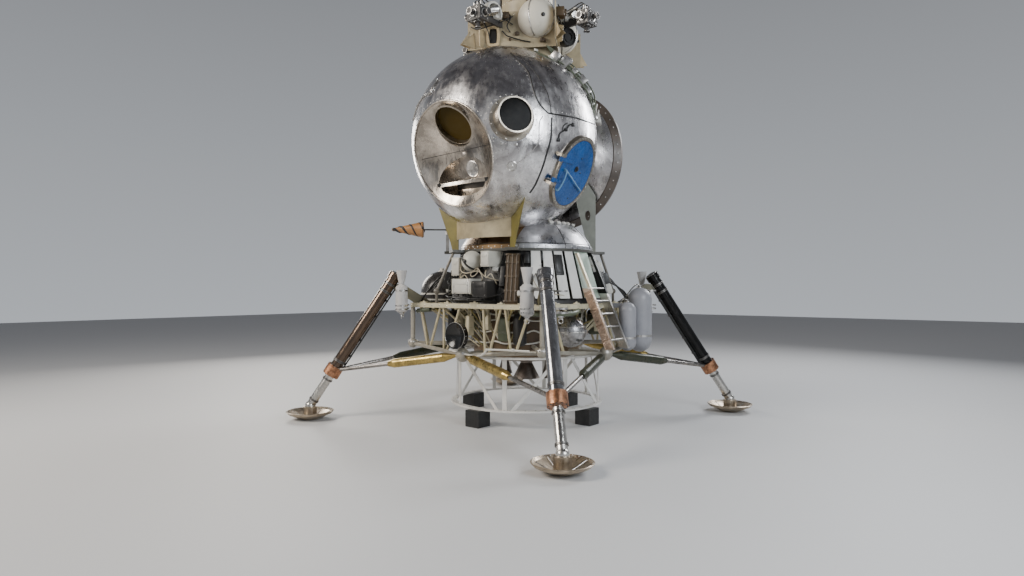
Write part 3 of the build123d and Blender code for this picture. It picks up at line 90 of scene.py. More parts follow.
# Black beads on the cabin ball: line, radius, lift and sides
CABIN_BEADS = (
    (FRONT_SEAM, 0.01, -0.004, 8), (SECOND_SEAM, 0.0065, -0.003, 8),
    (SIDE_SEAM, 0.01, -0.004, 8), (DOOR_SEAL, 0.012, -0.005, 12),
)

# Rows of rivets on the cabin ball: line, turn and rise from it, and gap
CABIN_RIVETS = (
    (FRONT_SEAM, -1.6, 0.4, 0.055), (SIDE_SEAM, 0, 1.6, 0.055), (SIDE_SEAM, 0, -1.6, 0.055),
    (DOOR_SEAL, -1.8, 0, 0.06), (SHOULDER_LINE, 0, 0, 0.045),
)

# Openings in the cabin ball, with their axes as azimuth and elevation
DISH_AXIS = (0, -17)
DISH_SPREAD = 32.1
DISH_RIM_DISTANCE = 0.885
PORT_AXIS = (44, 1)
PORT_SPREAD = 12.3
HATCH_AXIS = (93, -25.5)
HATCH_FACE = 1.025
HATCH_SIZE = (0.292, 0.355)
HATCH_HANDLE = (
    (-0.235, -0.2, 0.0), (-0.235, -0.2, 0.035), (-0.215, -0.1, 0.045),
    (-0.205, 0.0, 0.035), (-0.205, 0.0, 0.0),
)

# Instrument bay, with the housings on its back: x, height, width and tall
BAY_HEIGHT = 3.1
BAY_FLANGE_Y = 0.762
BAY_BEHIND = 2.0
REAR_HOUSINGS = (
    (0.0, 3.1, 0.16, 0.12), (0.4, 3.38, 0.14, 0.1), (-0.38, 2.84, 0.12, 0.16), (-0.1, 2.68, 0.2, 0.08),
)

# Skirt: heights along its joints, and the support ring's top
SKIRT_HEIGHTS = (1.94, 1.97, 2.0, 2.05, 2.1, 2.15, 2.2, 2.235)
RING_TOP = 1.93

# Reaction control block
PLATE_AZIMUTH = 31
PLATE_FACE = 0.4
TANK_REACH = 0.42
TANK_HEIGHT = 4.525
TANK_RADIUS = 0.218
POD_REACH = 0.85
POD_HEIGHT = 4.47

# Wings folded out from the beige plates: across, height and lift of their corners
PLATE_WINGS = (
    ((-0.44, 4.225, 0.0), (-0.44, 4.43, 0.0), (-0.475, 4.4, 0.075), (-0.47, 4.23, 0.06)),
    ((-0.6, 4.22, 0.0), (-0.6, 4.42, 0.0), (-0.7, 4.25, 0.06)),
    ((-0.53, 4.22, 0.0), (-0.55, 4.4, 0.0), (-0.66, 4.24, 0.11)),
)

# Boxes on the beige plates: across, height, width, tall and depth
PLATE_BOXES = (
    (-0.5, 4.53, 0.12, 0.1, 0.09), (-0.18, 4.56, 0.09, 0.07, 0.07), (-0.05, 4.36, 0.05, 0.04, 0.03),
    (-0.13, 4.3, 0.03, 0.03, 0.02), (0.24, 4.27, 0.07, 0.04, 0.04),
)

# Hoses on the beige plates: across, height and lift of their points
PLATE_HOSES = (
    ((-0.55, 4.6, 0.02), (-0.42, 4.56, 0.06), (-0.3, 4.5, 0.05), (-0.2, 4.52, 0.04), (-0.1, 4.46, 0.02)),
    ((-0.58, 4.46, 0.02), (-0.5, 4.42, 0.05), (-0.4, 4.44, 0.05), (-0.24, 4.48, 0.06), (-0.1, 4.55, 0.03)),
    ((-0.22, 4.4, 0.01), (-0.17, 4.34, 0.03), (-0.1, 4.31, 0.03), (0.0, 4.28, 0.02), (0.1, 4.26, 0.01)),
    ((-0.45, 4.58, 0.03), (-0.43, 4.5, 0.08), (-0.38, 4.4, 0.06), (-0.36, 4.3, 0.02)),
    ((-0.15, 4.6, 0.02), (-0.12, 4.52, 0.06), (-0.16, 4.44, 0.05), (-0.13, 4.38, 0.01)),
)

# Bundle behind the cabin: its line, the turn and lift of each hose, and its boxes with their sizes
BUNDLE_LINE = ((98, 60), (110, 54), (116, 45), (120, 36), (124, 26), (130, 14))
BUNDLE_HOSES = ((-5, 0.03), (-2, 0.06), (0, 0.09), (2, 0.05), (5, 0.03), (8, 0.05))
BUNDLE_BOXES = (
    (106, 55, (0.14, 0.08, 0.1)), (112, 50, (0.09, 0.1, 0.13)), (117, 43, (0.12, 0.06, 0.09)),
    (119, 37, (0.07, 0.1, 0.11)), (122, 30, (0.1, 0.06, 0.08)), (125, 24, (0.06, 0.07, 0.06)),
)

# Profiles of radius and rise: the can on each pod's arm, the black round unit and the leg's band
CAN_PROFILE = (
    (0, -0.06), (0.048, -0.06), (0.05, -0.05), (0.05, 0.03), (0.044, 0.036), (0.03, 0.036),
    (0.028, 0.028), (0, 0.028),
)
UNIT_PROFILE = (
    (0, -0.05), (0.085, -0.05), (0.1, -0.03), (0.1, 0.05), (0.094, 0.06), (0.082, 0.06),
    (0.078, 0.045), (0.06, 0.045), (0.056, 0.056), (0.046, 0.056), (0.042, 0.038), (0, 0.034),
)
LEG_BAND_PROFILE = (
    (0.068, -0.016), (0.075, -0.014), (0.075, -0.003), (0.072, 0), (0.075, 0.003), (0.075, 0.014),
    (0.068, 0.016),
)

# Core under the docking plate
CORE_REACH = 0.3
CORE_LINES = (40, 52, 130, 142, 220, 232, 310, 322)

# Equipment wall: a cone round the rocket unit, as reach and height, and the deck under it
WALL_TOP = (0.74, 1.9)
WALL_FOOT = (0.9, 1.33)
WALL_LEAN = 15.7
DECK_TOP = 1.33
DECK_BOTTOM = 1.28

# Boxes on the wall at the front: x, height, width, tall and reach of the front face
BOXES = (
    (0.18, 1.81, 0.115, 0.165, 0.94), (-0.1, 1.52, 0.28, 0.16, 1.01),
    (0.155, 1.49, 0.2, 0.17, 1.0), (-0.33, 1.74, 0.12, 0.2, 0.86),
)
BLACK_BOX = 2

# Small housings on the equipment wall: azimuth, height, width, tall and depth
WALL_HOUSINGS_DARK = (
    (38.5, 1.805, 0.06, 0.125, 0.07), (22.0, 1.6, 0.055, 0.22, 0.1), (63.0, 1.735, 0.1, 0.23, 0.06),
    (50.2, 1.83, 0.03, 0.1, 0.045), (-8.0, 1.66, 0.1, 0.07, 0.09), (-45.0, 1.56, 0.16, 0.2, 0.14),
    (-110.0, 1.58, 0.22, 0.16, 0.15), (-135.0, 1.62, 0.14, 0.24, 0.12), (130.0, 1.56, 0.2, 0.18, 0.14),
    (150.0, 1.66, 0.12, 0.22, 0.1), (215.0, 1.7, 0.16, 0.12, 0.12), (112.0, 1.56, 0.1, 0.24, 0.09),
    (-72.0, 1.8, 0.13, 0.1, 0.08), (-100.0, 1.47, 0.12, 0.12, 0.12), (-88.0, 1.62, 0.1, 0.2, 0.1),
    (240.0, 1.72, 0.12, 0.18, 0.1), (203.0, 1.46, 0.14, 0.14, 0.12), (158.0, 1.5, 0.16, 0.12, 0.1),
)
WALL_HOUSINGS_PALE = (
    (16.0, 1.68, 0.07, 0.05, 0.09), (-2.0, 1.45, 0.1, 0.05, 0.12), (-24.0, 1.64, 0.09, 0.07, 0.1),
    (34.0, 1.42, 0.05, 0.06, 0.1), (-58.0, 1.72, 0.12, 0.14, 0.1), (-95.0, 1.74, 0.14, 0.1, 0.1),
    (-122.0, 1.76, 0.1, 0.14, 0.09), (118.0, 1.72, 0.14, 0.12, 0.1), (140.0, 1.78, 0.08, 0.1, 0.09),
    (196.0, 1.6, 0.1, 0.1, 0.11), (232.0, 1.55, 0.14, 0.1, 0.12), (124.0, 1.46, 0.16, 0.12, 0.14),
    (-68.0, 1.64, 0.16, 0.1, 0.1), (-82.0, 1.46, 0.12, 0.1, 0.12), (-104.0, 1.6, 0.1, 0.12, 0.1),
    (108.0, 1.8, 0.08, 0.1, 0.07), (-140.0, 1.48, 0.12, 0.12, 0.12), (246.0, 1.46, 0.14, 0.12, 0.12),
)

# Loops between the front boxes: azimuth, height and lift of their points
FRONT_LOOPS = (
    ((2, 1.73, 0.08), (0, 1.66, 0.15), (3, 1.62, 0.18), (6, 1.66, 0.17), (5, 1.71, 0.16), (8, 1.68, 0.18),
     (10, 1.61, 0.16), (8, 1.57, 0.12)),
    ((9, 1.72, 0.05), (11, 1.67, 0.14), (13, 1.61, 0.17), (15, 1.65, 0.14), (17, 1.6, 0.12),
     (18, 1.54, 0.06)),
    ((-12, 1.74, 0.04), (-14, 1.66, 0.1), (-10, 1.61, 0.14), (-7, 1.64, 0.13), (-4, 1.6, 0.12)),
    ((40, 1.66, 0.03), (43, 1.58, 0.07), (46, 1.5, 0.07), (50, 1.46, 0.07), (56, 1.44, 0.07),
     (64, 1.42, 0.05)),
)

# Cables on the equipment wall, at the front and again on the other sides
WALL_CABLES = (
    ((-30, 1.84, 0.02), (-20, 1.8, 0.07), (-12, 1.7, 0.14), (-4, 1.66, 0.16), (4, 1.68, 0.12),
     (10, 1.62, 0.1), (18, 1.58, 0.04)),
    ((-40, 1.46, 0.03), (-30, 1.42, 0.1), (-18, 1.4, 0.15), (-6, 1.41, 0.18), (6, 1.385, 0.18),
     (16, 1.41, 0.12), (24, 1.45, 0.04)),
    ((-50, 1.8, 0.02), (-42, 1.74, 0.08), (-36, 1.62, 0.1), (-30, 1.56, 0.12), (-22, 1.52, 0.08)),
    ((22, 1.86, 0.02), (20, 1.76, 0.06), (19, 1.66, 0.09), (21, 1.56, 0.08), (20, 1.44, 0.05),
     (22, 1.36, 0.02)),
    ((32, 1.88, 0.02), (35, 1.8, 0.05), (37, 1.68, 0.07), (36, 1.56, 0.08), (38, 1.44, 0.07),
     (37, 1.36, 0.02)),
)

# Lines round the wall: height and lift
WALL_RING_LINES = ((1.365, 0.022), (1.875, 0.02))

# Round canisters on the wall's other sides: azimuth, height, radius, length and turn
WALL_CANS = (
    (176.0, 1.46, 0.055, 0.24, 90), (141.0, 1.8, 0.045, 0.22, 90), (224.0, 1.46, 0.06, 0.26, 90),
    (130.0, 1.62, 0.05, 0.24, 0), (257.0, 1.66, 0.052, 0.28, 0), (188.0, 1.8, 0.042, 0.2, 90),
    (-60.0, 1.56, 0.055, 0.26, 0), (-94.0, 1.8, 0.042, 0.22, 90), (206.0, 1.62, 0.048, 0.22, 0),
)

# Small white tank, and the bronze column with its clamps
SMALL_TANK_CENTRE = Vector((-0.075, -0.86, 1.79))
SMALL_TANK_RADIUS = 0.115
STRAP_AXIS = (0.75, -0.15, 0.62)
COLUMN_AZIMUTH = 28.5
COLUMN_CLAMPS = (1.36, 1.47, 1.62, 1.77, 1.855)

# Strips on the wall: node, azimuth and width in degrees
WALL_STRIPS = (
    ("louvre_strips", 45.5, 7.5), ("louvre_strips", 55, 7.5), ("louvre_strips", 64.2, 7.5),
    ("louvre_strips", 74.3, 8.2), ("side_panel", 90, 19),
)

# Units hung under the deck: azimuth, reach, bottom, width and depth, or radius for the bottles
UNDER_BOXES_GREEN = (
    (21, 0.8, 0.93, 0.11, 0.1), (-18, 0.76, 1.0, 0.13, 0.09), (-38, 0.84, 0.96, 0.12, 0.12),
    (-62, 0.78, 0.98, 0.14, 0.12), (-118, 0.78, 1.0, 0.12, 0.14), (-150, 0.8, 0.95, 0.12, 0.1),
    (128, 0.8, 0.96, 0.16, 0.12), (160, 0.78, 1.0, 0.12, 0.1),
)
UNDER_BOXES_CREAM = (
    (8, 0.84, 1.05, 0.07, 0.06), (-8, 0.86, 0.98, 0.06, 0.08), (-28, 0.8, 1.08, 0.09, 0.08),
    (-50, 0.86, 1.04, 0.08, 0.1), (-100, 0.82, 1.02, 0.1, 0.08), (-135, 0.84, 1.06, 0.09, 0.08),
    (118, 0.84, 1.0, 0.08, 0.08), (142, 0.86, 1.08, 0.08, 0.07), (175, 0.84, 1.04, 0.1, 0.08),
)
UNDER_BOTTLES = (
    (34, 0.905, 0.92, 0.072), (-30, 0.9, 0.98, 0.055), (-72, 0.84, 0.96, 0.07), (-142, 0.86, 0.98, 0.065),
    (150, 0.88, 0.96, 0.07),
)
ROCKET_REACH = 0.622

# Wavy pipes round the rocket unit: height, reach and size of the waves
UNDER_RINGS = ((1.22, 0.66, 0.02), (1.14, 0.65, 0.03), (1.02, 0.66, 0.02), (0.9, 0.64, 0.015))

# White pipe along the front right tube of the lower frame, and the fat duct under the deck's edge
FRONT_PIPE = (
    (-0.2, -1.085, 0.835), (0.0, -1.12, 0.815), (0.15, -1.125, 0.8), (0.27, -1.13, 0.795),
    (0.33, -1.125, 0.825), (0.37, -1.115, 0.865), (0.45, -1.09, 0.872), (0.65, -1.04, 0.872),
    (0.84, -1.02, 0.875),
)
RIGHT_DUCT = (
    (0.66, -0.93, 1.262), (0.78, -0.95, 1.245), (0.92, -0.88, 1.235),
    (1.01, -0.72, 1.235), (1.02, -0.52, 1.24), (0.98, -0.36, 1.26),
)

# Grey capsules under the deck: azimuth, reach, radius, bottom and top
CAPSULES = ((105, 1.22, 0.095, 0.9, 1.25), (117, 1.32, 0.135, 0.91, 1.37))

# Ladder stringers, as reach and height of their ends
LADDER_TOP = (0.815, 1.88)
LADDER_FOOT = (1.274, 0.85)

# Legs, as reach and height
LEG_TOP = (1.52, 1.66)
LEG_FOOT = (2.5, 0.15)
LEG_AZIMUTHS = (45, -45, 135, 225)
RIB_REACHES = (0.085, 0.12, 0.16, 0.2, 0.235)

# Antenna cone: its azimuth, start, length and end radii, and the stripe wound round it
CONE_AZIMUTH = -47.5
CONE_START = 1.21
CONE_LENGTH = 0.37
CONE_WIDE = 0.095
CONE_NARROW = 0.012
STRIPE_START = 1.213
STRIPE_END = 1.565
STRIPE_TURNS = 1.6

# Round tank as azimuth, reach and height, and dark side tank as azimuth and reach
ROUND_TANK = (66.5, 0.985, 1.04)
SIDE_TANK = (-72, 1.12)

# Radar dish: middle of its front and radius
RADAR_CENTRE = (0, -1.21, 1.0)
RADAR_RADIUS = 0.14

# Hold-down motors: reach, offset to each side of the leg and height of the foot
MOTOR_REACH = 1.45
MOTOR_OFFSET = 0.165
MOTOR_FOOT = 1.226

# Display stand: reaches of the bolts on its rings
STAND_BOLT_REACHES = (0.838, 0.866)

# Paints: colour, roughness, cloudy shade, chipped edges, grime and the colour under the chips
PAINTS = {
    "dark_paint": ((0.06, 0.055, 0.052), 0.45, 0.3, 0.8),
    "cream_paint": ((0.62, 0.56, 0.38), 0.45, 0.25, 0.6, 0.55),
    "white_paint": ((0.72, 0.7, 0.66), 0.42, 0.12, 0.5),
    "beige_paint": ((0.46, 0.385, 0.25), 0.44, 0.35, 0.5, 0.7),
    "olive_paint": ((0.19, 0.155, 0.028), 0.36, 0.35, 0.4, 0.5),
    "grey_green_paint": ((0.17, 0.175, 0.14), 0.5, 0.3, 0.6),
    "frame_paint": ((0.36, 0.33, 0.27), 0.34, 0.35, 0.6, 0.6),
    "lattice_cream": ((0.52, 0.45, 0.28), 0.42, 0.3, 0.5, 0.6),
    "ring_paint": ((0.075, 0.072, 0.06), 0.42, 0.3, 0.6),
    "hatch_blue": ((0.005, 0.085, 0.3), 0.24, 0.4, 0.25, 0.4),
    "inner_paint": ((0.2, 0.22, 0.2), 0.5),
    "console_paint": ((0.14, 0.15, 0.14), 0.5),
    "flange_paint": ((0.105, 0.08, 0.062), 0.36, 0.45, 0.9, 0.6, (0.35, 0.3, 0.26)),
    "tank_cream": ((0.66, 0.62, 0.52), 0.35, 0.1, 0.2),
    "band_beige": ((0.4, 0.33, 0.2), 0.4, 0.35, 0.5, 0.6),
    "bronze_paint": ((0.13, 0.085, 0.045), 0.35, 0.4, 0.5),
    "strut_grey": ((0.16, 0.14, 0.11), 0.4, 0.3, 0.7),
    "wall_black": ((0.022, 0.02, 0.018), 0.5, 0.3, 0.3),
    "louvred_strip": ((0.74, 0.73, 0.69), 0.35, 0.1, 0.4, 0.35),
    "panel_green": ((0.43, 0.52, 0.43), 0.4, 0.12, 0.4),
    "equipment_paint": ((0.56, 0.54, 0.47), 0.42, 0.2, 0.5, 0.4),
    "side_tank_paint": ((0.035, 0.032, 0.03), 0.25, 0.3, 0.4),
    "capsule_grey": ((0.3, 0.3, 0.32), 0.38, 0.15, 0.4),
    "radar_black": ((0.003, 0.003, 0.003), 0.16, 0.2, 0.0, 0.0),
    "bracket_olive": ((0.14, 0.125, 0.075), 0.45, 0.3, 0.7),
    "motor_grey": ((0.55, 0.53, 0.51), 0.42, 0.15, 0.5),
    "cone_orange": ((0.42, 0.2, 0.07), 0.4, 0.3, 0.4),
    "foot_black": ((0.012, 0.012, 0.012), 0.5, 0.2, 0.2),
    "rubber_black": ((0.012, 0.011, 0.01), 0.42, 0.2, 0.0, 0.2),
    "fitting_white": ((0.7, 0.68, 0.62), 0.4, 0.15, 0.5),
    "fitting_cream": ((0.6, 0.54, 0.38), 0.45, 0.2, 0.5),
    "bar_blue": ((0.16, 0.33, 0.52), 0.3, 0.2, 0.4),
    "fitting_bronze": ((0.1, 0.065, 0.032), 0.36, 0.4, 0.5),
    "bundle_green": ((0.1, 0.115, 0.07), 0.42, 0.35, 0.6),
    "wing_beige": ((0.52, 0.41, 0.24), 0.38, 0.35, 0.6, 0.6),
    "cable_tan": ((0.46, 0.4, 0.29), 0.5, 0.3, 0.1),
    "lid_paint": ((0.6, 0.58, 0.52), 0.4, 0.15, 0.5, 0.4),
    "can_paint": ((0.42, 0.42, 0.38), 0.36, 0.25, 0.5, 0.5),
    "brace_olive": ((0.36, 0.3, 0.12), 0.42, 0.3, 0.5),
}

# Bare metals: colour, roughness, depth of the stains and their number per metre
METALS = {
    "dish_metal": ((0.68, 0.61, 0.53), 0.22, 0.55, 5.0),
    "trim_metal": ((0.47, 0.42, 0.35), 0.3, 0.4),
    "frame_metal": ((0.62, 0.6, 0.57), 0.3, 0.4),
    "nozzle_metal": ((0.3, 0.26, 0.23), 0.35, 0.5),
    "tank_metal": ((0.5, 0.49, 0.49), 0.24, 0.45),
    "copper_joint": ((0.55, 0.27, 0.15), 0.35, 0.6, 20.0),
    "piston_steel": ((0.7, 0.67, 0.62), 0.18, 0.3),
    "pad_metal": ((0.6, 0.5, 0.38), 0.34, 0.4),
    "rod_steel": ((0.34, 0.32, 0.3), 0.25, 0.4),
    "skirt_metal": ((0.62, 0.62, 0.64), 0.3, 0.35),
    "ladder_metal": ((0.62, 0.6, 0.57), 0.32, 0.35),
    "docking_metal": ((0.6, 0.58, 0.54), 0.32, 0.35, 7.0),
    "screw_steel": ((0.66, 0.64, 0.61), 0.26, 0.3, 30.0),
    "pipe_copper": ((0.6, 0.42, 0.3), 0.34, 0.4, 25.0),
    "band_metal": ((0.2, 0.19, 0.18), 0.28, 0.3, 20.0),
}

# Zones of a look in another colour: the colour, then the limits that hold there
ZONES = {
    "equipment_paint": (
        ((0.03, 0.028, 0.026), ("turned X", ABOVE, 0.045), ("Z", BELOW, 1.62)),
        ((0.085, 0.055, 0.028), ("turned X", ABOVE, 0.31)),
    ),
    "ladder_metal": (
        ((0.5, 0.4, 0.32), ("Y", BELOW, -0.125), ("Z", BELOW, 1.5)),
        ((0.5, 0.45, 0.34), ("Y", BELOW, -0.125), ("Z", ABOVE, 1.5)),
        ((0.025, 0.025, 0.025), ("Y", ABOVE, 0.125), ("Z", ABOVE, 1.44)),
    ),
    # The front of the skirt tinted bronze brown by position: a painted warm reflection on its bare metal.
    "skirt_metal": (((0.26, 0.17, 0.09), ("Y", BELOW, -0.2), ("size of X", BELOW, 0.37)),),
}

# The look that each CAD node wears
NODE_LOOKS = {
    "cabin_front_shell": "cabin_skin", "cabin_right_shell": "cabin_skin", "cabin_left_shell": "cabin_skin",
    "cabin_top_shell": "cabin_skin", "instrument_bay": "cabin_skin", "window_dish": "dish_metal",
    "window_frames": "trim_metal", "window_glass": "window_tint", "hatch_frame": "trim_metal",
    "hatch_door": "hatch_blue", "cabin_floor": "inner_paint", "control_console": "console_paint",
    "bay_flange": "flange_paint", "rcs_housing": "beige_paint", "rcs_plates": "beige_paint",
    "rcs_tanks": "tank_cream", "thruster_pods": "dark_paint", "docking_plate": "docking_metal",
    "front_fins": "olive_paint", "front_band": "band_beige", "rear_brackets": "grey_green_paint",
    "support_ring": "ring_paint", "stage_skirt": "skirt_metal", "rocket_block": "bronze_paint",
    "engine_nozzles": "nozzle_metal", "deck": "cream_paint", "lower_frame": "frame_paint",
    "deck_lattice": "lattice_cream", "slant_struts": "strut_grey", "equipment_wall": "wall_black",
    "louvre_strips": "louvred_strip", "side_panel": "panel_green", "ladder": "ladder_metal",
    "equipment_boxes": "equipment_paint", "side_tank": "side_tank_paint", "sphere_tank": "tank_metal",
    "grey_capsules": "capsule_grey", "radar_dish": "radar_black", "leg_tubes": "leg_metal",
    "knee_collars": "copper_joint", "leg_pistons": "piston_steel", "footpads": "pad_metal",
    "leg_brackets": "bracket_olive", "side_struts": "strut_metal", "strut_rods": "rod_steel",
    "hold_down_motors": "motor_grey", "antenna_bracket": "frame_metal", "antenna_boom": "dark_paint",
    "antenna_cone": "cone_orange", "stand_rings": "white_paint", "stand_lattice": "white_paint",
    "stand_feet": "foot_black",
}

# The slot name listed for a fitting of each look, unless its piece gives another
SLOTS = {
    "screw_steel": "frame_metal", "rubber_black": "dark_metal", "fitting_white": "white_tank",
    "fitting_cream": "cream_frame", "bar_blue": "hatch_blue", "fitting_bronze": "dark_metal",
    "bundle_green": "green_grey", "wing_beige": "beige_cover", "cable_tan": "cream_frame",
    "lid_paint": "equipment_paint", "can_paint": "white_tank", "brace_olive": "yellow_bracket",
    "pipe_copper": "copper_joint", "band_metal": "leg_chrome",
}


# Shader building blocks


def new_shader(name):
    """A material with its node tree and its one shader."""
    material = bpy.data.materials.new(name)
    material.use_nodes = True
    return material, material.node_tree, material.node_tree.nodes["Principled BSDF"]


def connect(tree, made, key, value):
    """Link a node's input to a socket, or set it to a number, a vector or a colour."""
    socket = made.inputs[key]
    if isinstance(value, bpy.types.NodeSocket):
        tree.links.new(value, socket)
    elif socket.type == "RGBA":
        socket.default_value = (*value, 1)
    else:
        socket.default_value = value


def node(tree, kind, inputs=(), **settings):
    """A node with its settings and its inputs."""
    made = tree.nodes.new(kind)
    for name, value in settings.items():
        setattr(made, name, value)
    for key, value in dict(inputs).items():
        connect(tree, made, key, value)
    return made


def place(tree, stretch=(1, 1, 1)):
    """Position on the object in metres, stretched along each axis."""
    coordinates = node(tree, "ShaderNodeTexCoord")
    mapping = node(tree, "ShaderNodeMapping", {"Vector": coordinates.outputs["Object"], "Scale": stretch})
    return mapping.outputs["Vector"]


def noise(tree, scale, detail=4.0, roughness=0.55, stretch=(1, 1, 1), distortion=0.0):
    """Cloudy noise from 0 to 1, with the number of clouds per metre."""
    made = node(tree, "ShaderNodeTexNoise", {
        "Vector": place(tree, stretch), "Scale": scale, "Detail": detail,
        "Roughness": roughness, "Distortion": distortion,
    })
    return made.outputs["Fac"]


def levels(tree, value, low, high, out_low=0.0, out_high=1.0):
    """Stretch a value's range from low..high to out_low..out_high, and clamp it."""
    made = node(tree, "ShaderNodeMapRange", {
        "Value": value, "From Min": low, "From Max": high, "To Min": out_low, "To Max": out_high,
    })
    return made.outputs["Result"]


def clouds(tree, texture, *limits):
    """Noise, as its scale, detail, roughness, stretch and distortion, with its range stretched."""
    return levels(tree, noise(tree, *texture), *limits)


def maths(tree, operation, first, second=0.0):
    """The outcome of one operation on two values."""
    return node(tree, "ShaderNodeMath", {0: first, 1: second}, operation=operation).outputs[0]


def blend_colour(tree, factor, first, second):
    """Mix two colours, each a tuple or a socket."""
    return node(tree, "ShaderNodeMix", {0: factor, 6: first, 7: second}, data_type="RGBA").outputs[2]


def position(tree, axis):
    """X, Y or Z of the position, the size of X or Y, or X as seen from the nearer of front and rear."""
    coordinates = node(tree, "ShaderNodeTexCoord")
    split = node(tree, "ShaderNodeSeparateXYZ", {"Vector": coordinates.outputs["Object"]})
    value = split.outputs[axis[-1]]
    if axis.startswith("size"):
        return maths(tree, "ABSOLUTE", value)
    if axis.startswith("turned"):
        rear = maths(tree, "MULTIPLY", maths(tree, ABOVE, position(tree, "Y"), 0.0), 2.0)
        return maths(tree, "MULTIPLY", value, maths(tree, "SUBTRACT", 1.0, rear))
    return value


def edge_mask(tree):
    """1 on edges and corners, 0 on flat faces."""
    bevel = node(tree, "ShaderNodeBevel", {"Radius": 0.004}, samples=4)
    surface = node(tree, "ShaderNodeNewGeometry")
    normals = {0: bevel.outputs["Normal"], 1: surface.outputs["Normal"]}
    dot = node(tree, "ShaderNodeVectorMath", normals, operation="DOT_PRODUCT")
    return levels(tree, maths(tree, "SUBTRACT", 1.0, dot.outputs["Value"]), 0.004, 0.06)


def set_bump(tree, shader, height, distance, strength):
    """Dent a surface by a height from 0 to 1 times a distance."""
    bump = node(tree, "ShaderNodeBump", {"Height": height, "Distance": distance, "Strength": strength})
    connect(tree, shader, "Normal", bump.outputs["Normal"])


def set_surface(tree, shader, base, metallic, roughness):
    """Set the three inputs that every look sets."""
    for key, value in (("Base Color", base), ("Metallic", metallic), ("Roughness", roughness)):
        connect(tree, shader, key, value)


def darker(colour, share):
    """A colour at a share of its brightness."""
    return tuple(channel * share for channel in colour)


def painted(name, colour, roughness=0.42, shade=0.22, chips=0.35, grime=0.3, under=(0.35, 0.33, 0.3)):
    """Paint with cloudy shade, chipped edges, grime in patches and a fine orange-peel bump."""
    material, tree, shader = new_shader(name)
    base = blend_colour(tree, clouds(tree, (6.0, 6.0), 0.35, 0.65), darker(colour, 1 - shade), colour)
    dirt = clouds(tree, (23.0, 8.0, 0.65, (1, 1, 0.4)), 0.55, 0.85, 0.0, grime)
    base = blend_colour(tree, dirt, base, darker(colour, 0.25))
    worn = maths(tree, "MULTIPLY", edge_mask(tree), clouds(tree, (55.0, 5.0), 0.42, 0.6))
    worn = maths(tree, "MULTIPLY", worn, chips)
    rough = clouds(tree, (30.0, 6.0), 0.3, 0.7, roughness - 0.08, roughness + 0.14)
    set_surface(tree, shader, blend_colour(tree, worn, base, under), worn, rough)
    set_bump(tree, shader, noise(tree, 160.0, 3.0), 0.0006, 0.35)
    return material


def bare_metal(name, colour, roughness=0.28, mottle=0.35, scale=9.0):
    """Bare metal with stains, polishing streaks and shallow dents."""
    material, tree, shader = new_shader(name)
    stain = clouds(tree, (scale, 8.0, 0.62, (1, 1, 1), 0.4), 0.38, 0.62)
    base = blend_colour(tree, stain, darker(colour, 1 - mottle), colour)
    speck = clouds(tree, (scale * 11, 4.0, 0.7), 0.58, 0.72, 0.0, 0.6)
    base = blend_colour(tree, speck, base, darker(colour, 0.45))
    brushed = noise(tree, scale * 7, 6.0, 0.6, (1, 1, 0.12))
    cloud = clouds(tree, (scale * 0.8, 6.0), 0.3, 0.7, -0.1, 0.16)
    polish = levels(tree, brushed, 0.3, 0.7, roughness - 0.06, roughness + 0.12)
    set_surface(tree, shader, base, 1.0, maths(tree, "ADD", polish, cloud))
    height = maths(tree, "ADD", noise(tree, 3.2, 3.0), maths(tree, "MULTIPLY", brushed, 0.02))
    set_bump(tree, shader, height, 0.015, 0.5)
    return material


def cabin_skin(name):
    """Hand-polished sheet aluminium with streaks, cloudy stains and broad waves."""
    material, tree, shader = new_shader(name)
    stain = clouds(tree, (3.6, 10.0, 0.66, (1, 1, 0.75), 0.7), 0.36, 0.62)
    base = blend_colour(tree, stain, (0.33, 0.31, 0.31), (0.83, 0.81, 0.8))
    fine = clouds(tree, (38.0, 6.0, 0.7), 0.52, 0.7, 0.0, 0.55)
    base = blend_colour(tree, fine, base, (0.3, 0.29, 0.29))
    streaks = clouds(tree, (26.0, 6.0, 0.6, (1, 1, 0.08), 0.2), 0.3, 0.7, 0.16, 0.34)
    rough = maths(tree, "ADD", streaks, clouds(tree, (5.0, 8.0, 0.6), 0.3, 0.7, -0.12, 0.2))
    set_surface(tree, shader, base, 1.0, maths(tree, "MAXIMUM", rough, 0.07))
    dents = maths(tree, "MULTIPLY", noise(tree, 7.5, 4.0, 0.55), 0.35)
    set_bump(tree, shader, maths(tree, "ADD", noise(tree, 2.3, 3.0, 0.5), dents), 0.018, 0.55)
    return material


def window_tint(name):
    """Dark glass, amber in the slanted window, with a film of dust and a weak reflection."""
    material, tree, shader = new_shader(name)
    in_port = levels(tree, position(tree, "X"), 0.3, 0.45)
    tint = blend_colour(tree, in_port, (0.06, 0.04, 0.01), (0.01, 0.01, 0.01))
    dust = clouds(tree, (14.0, 8.0, 0.65), 0.45, 0.8, 0.0, 0.1)
    base = blend_colour(tree, dust, tint, (0.12, 0.1, 0.07))
    set_surface(tree, shader, base, 0.0, clouds(tree, (20.0, 6.0), 0.3, 0.8, 0.05, 0.17))
    shader.inputs["Specular IOR Level"].default_value = 0.035
    return material


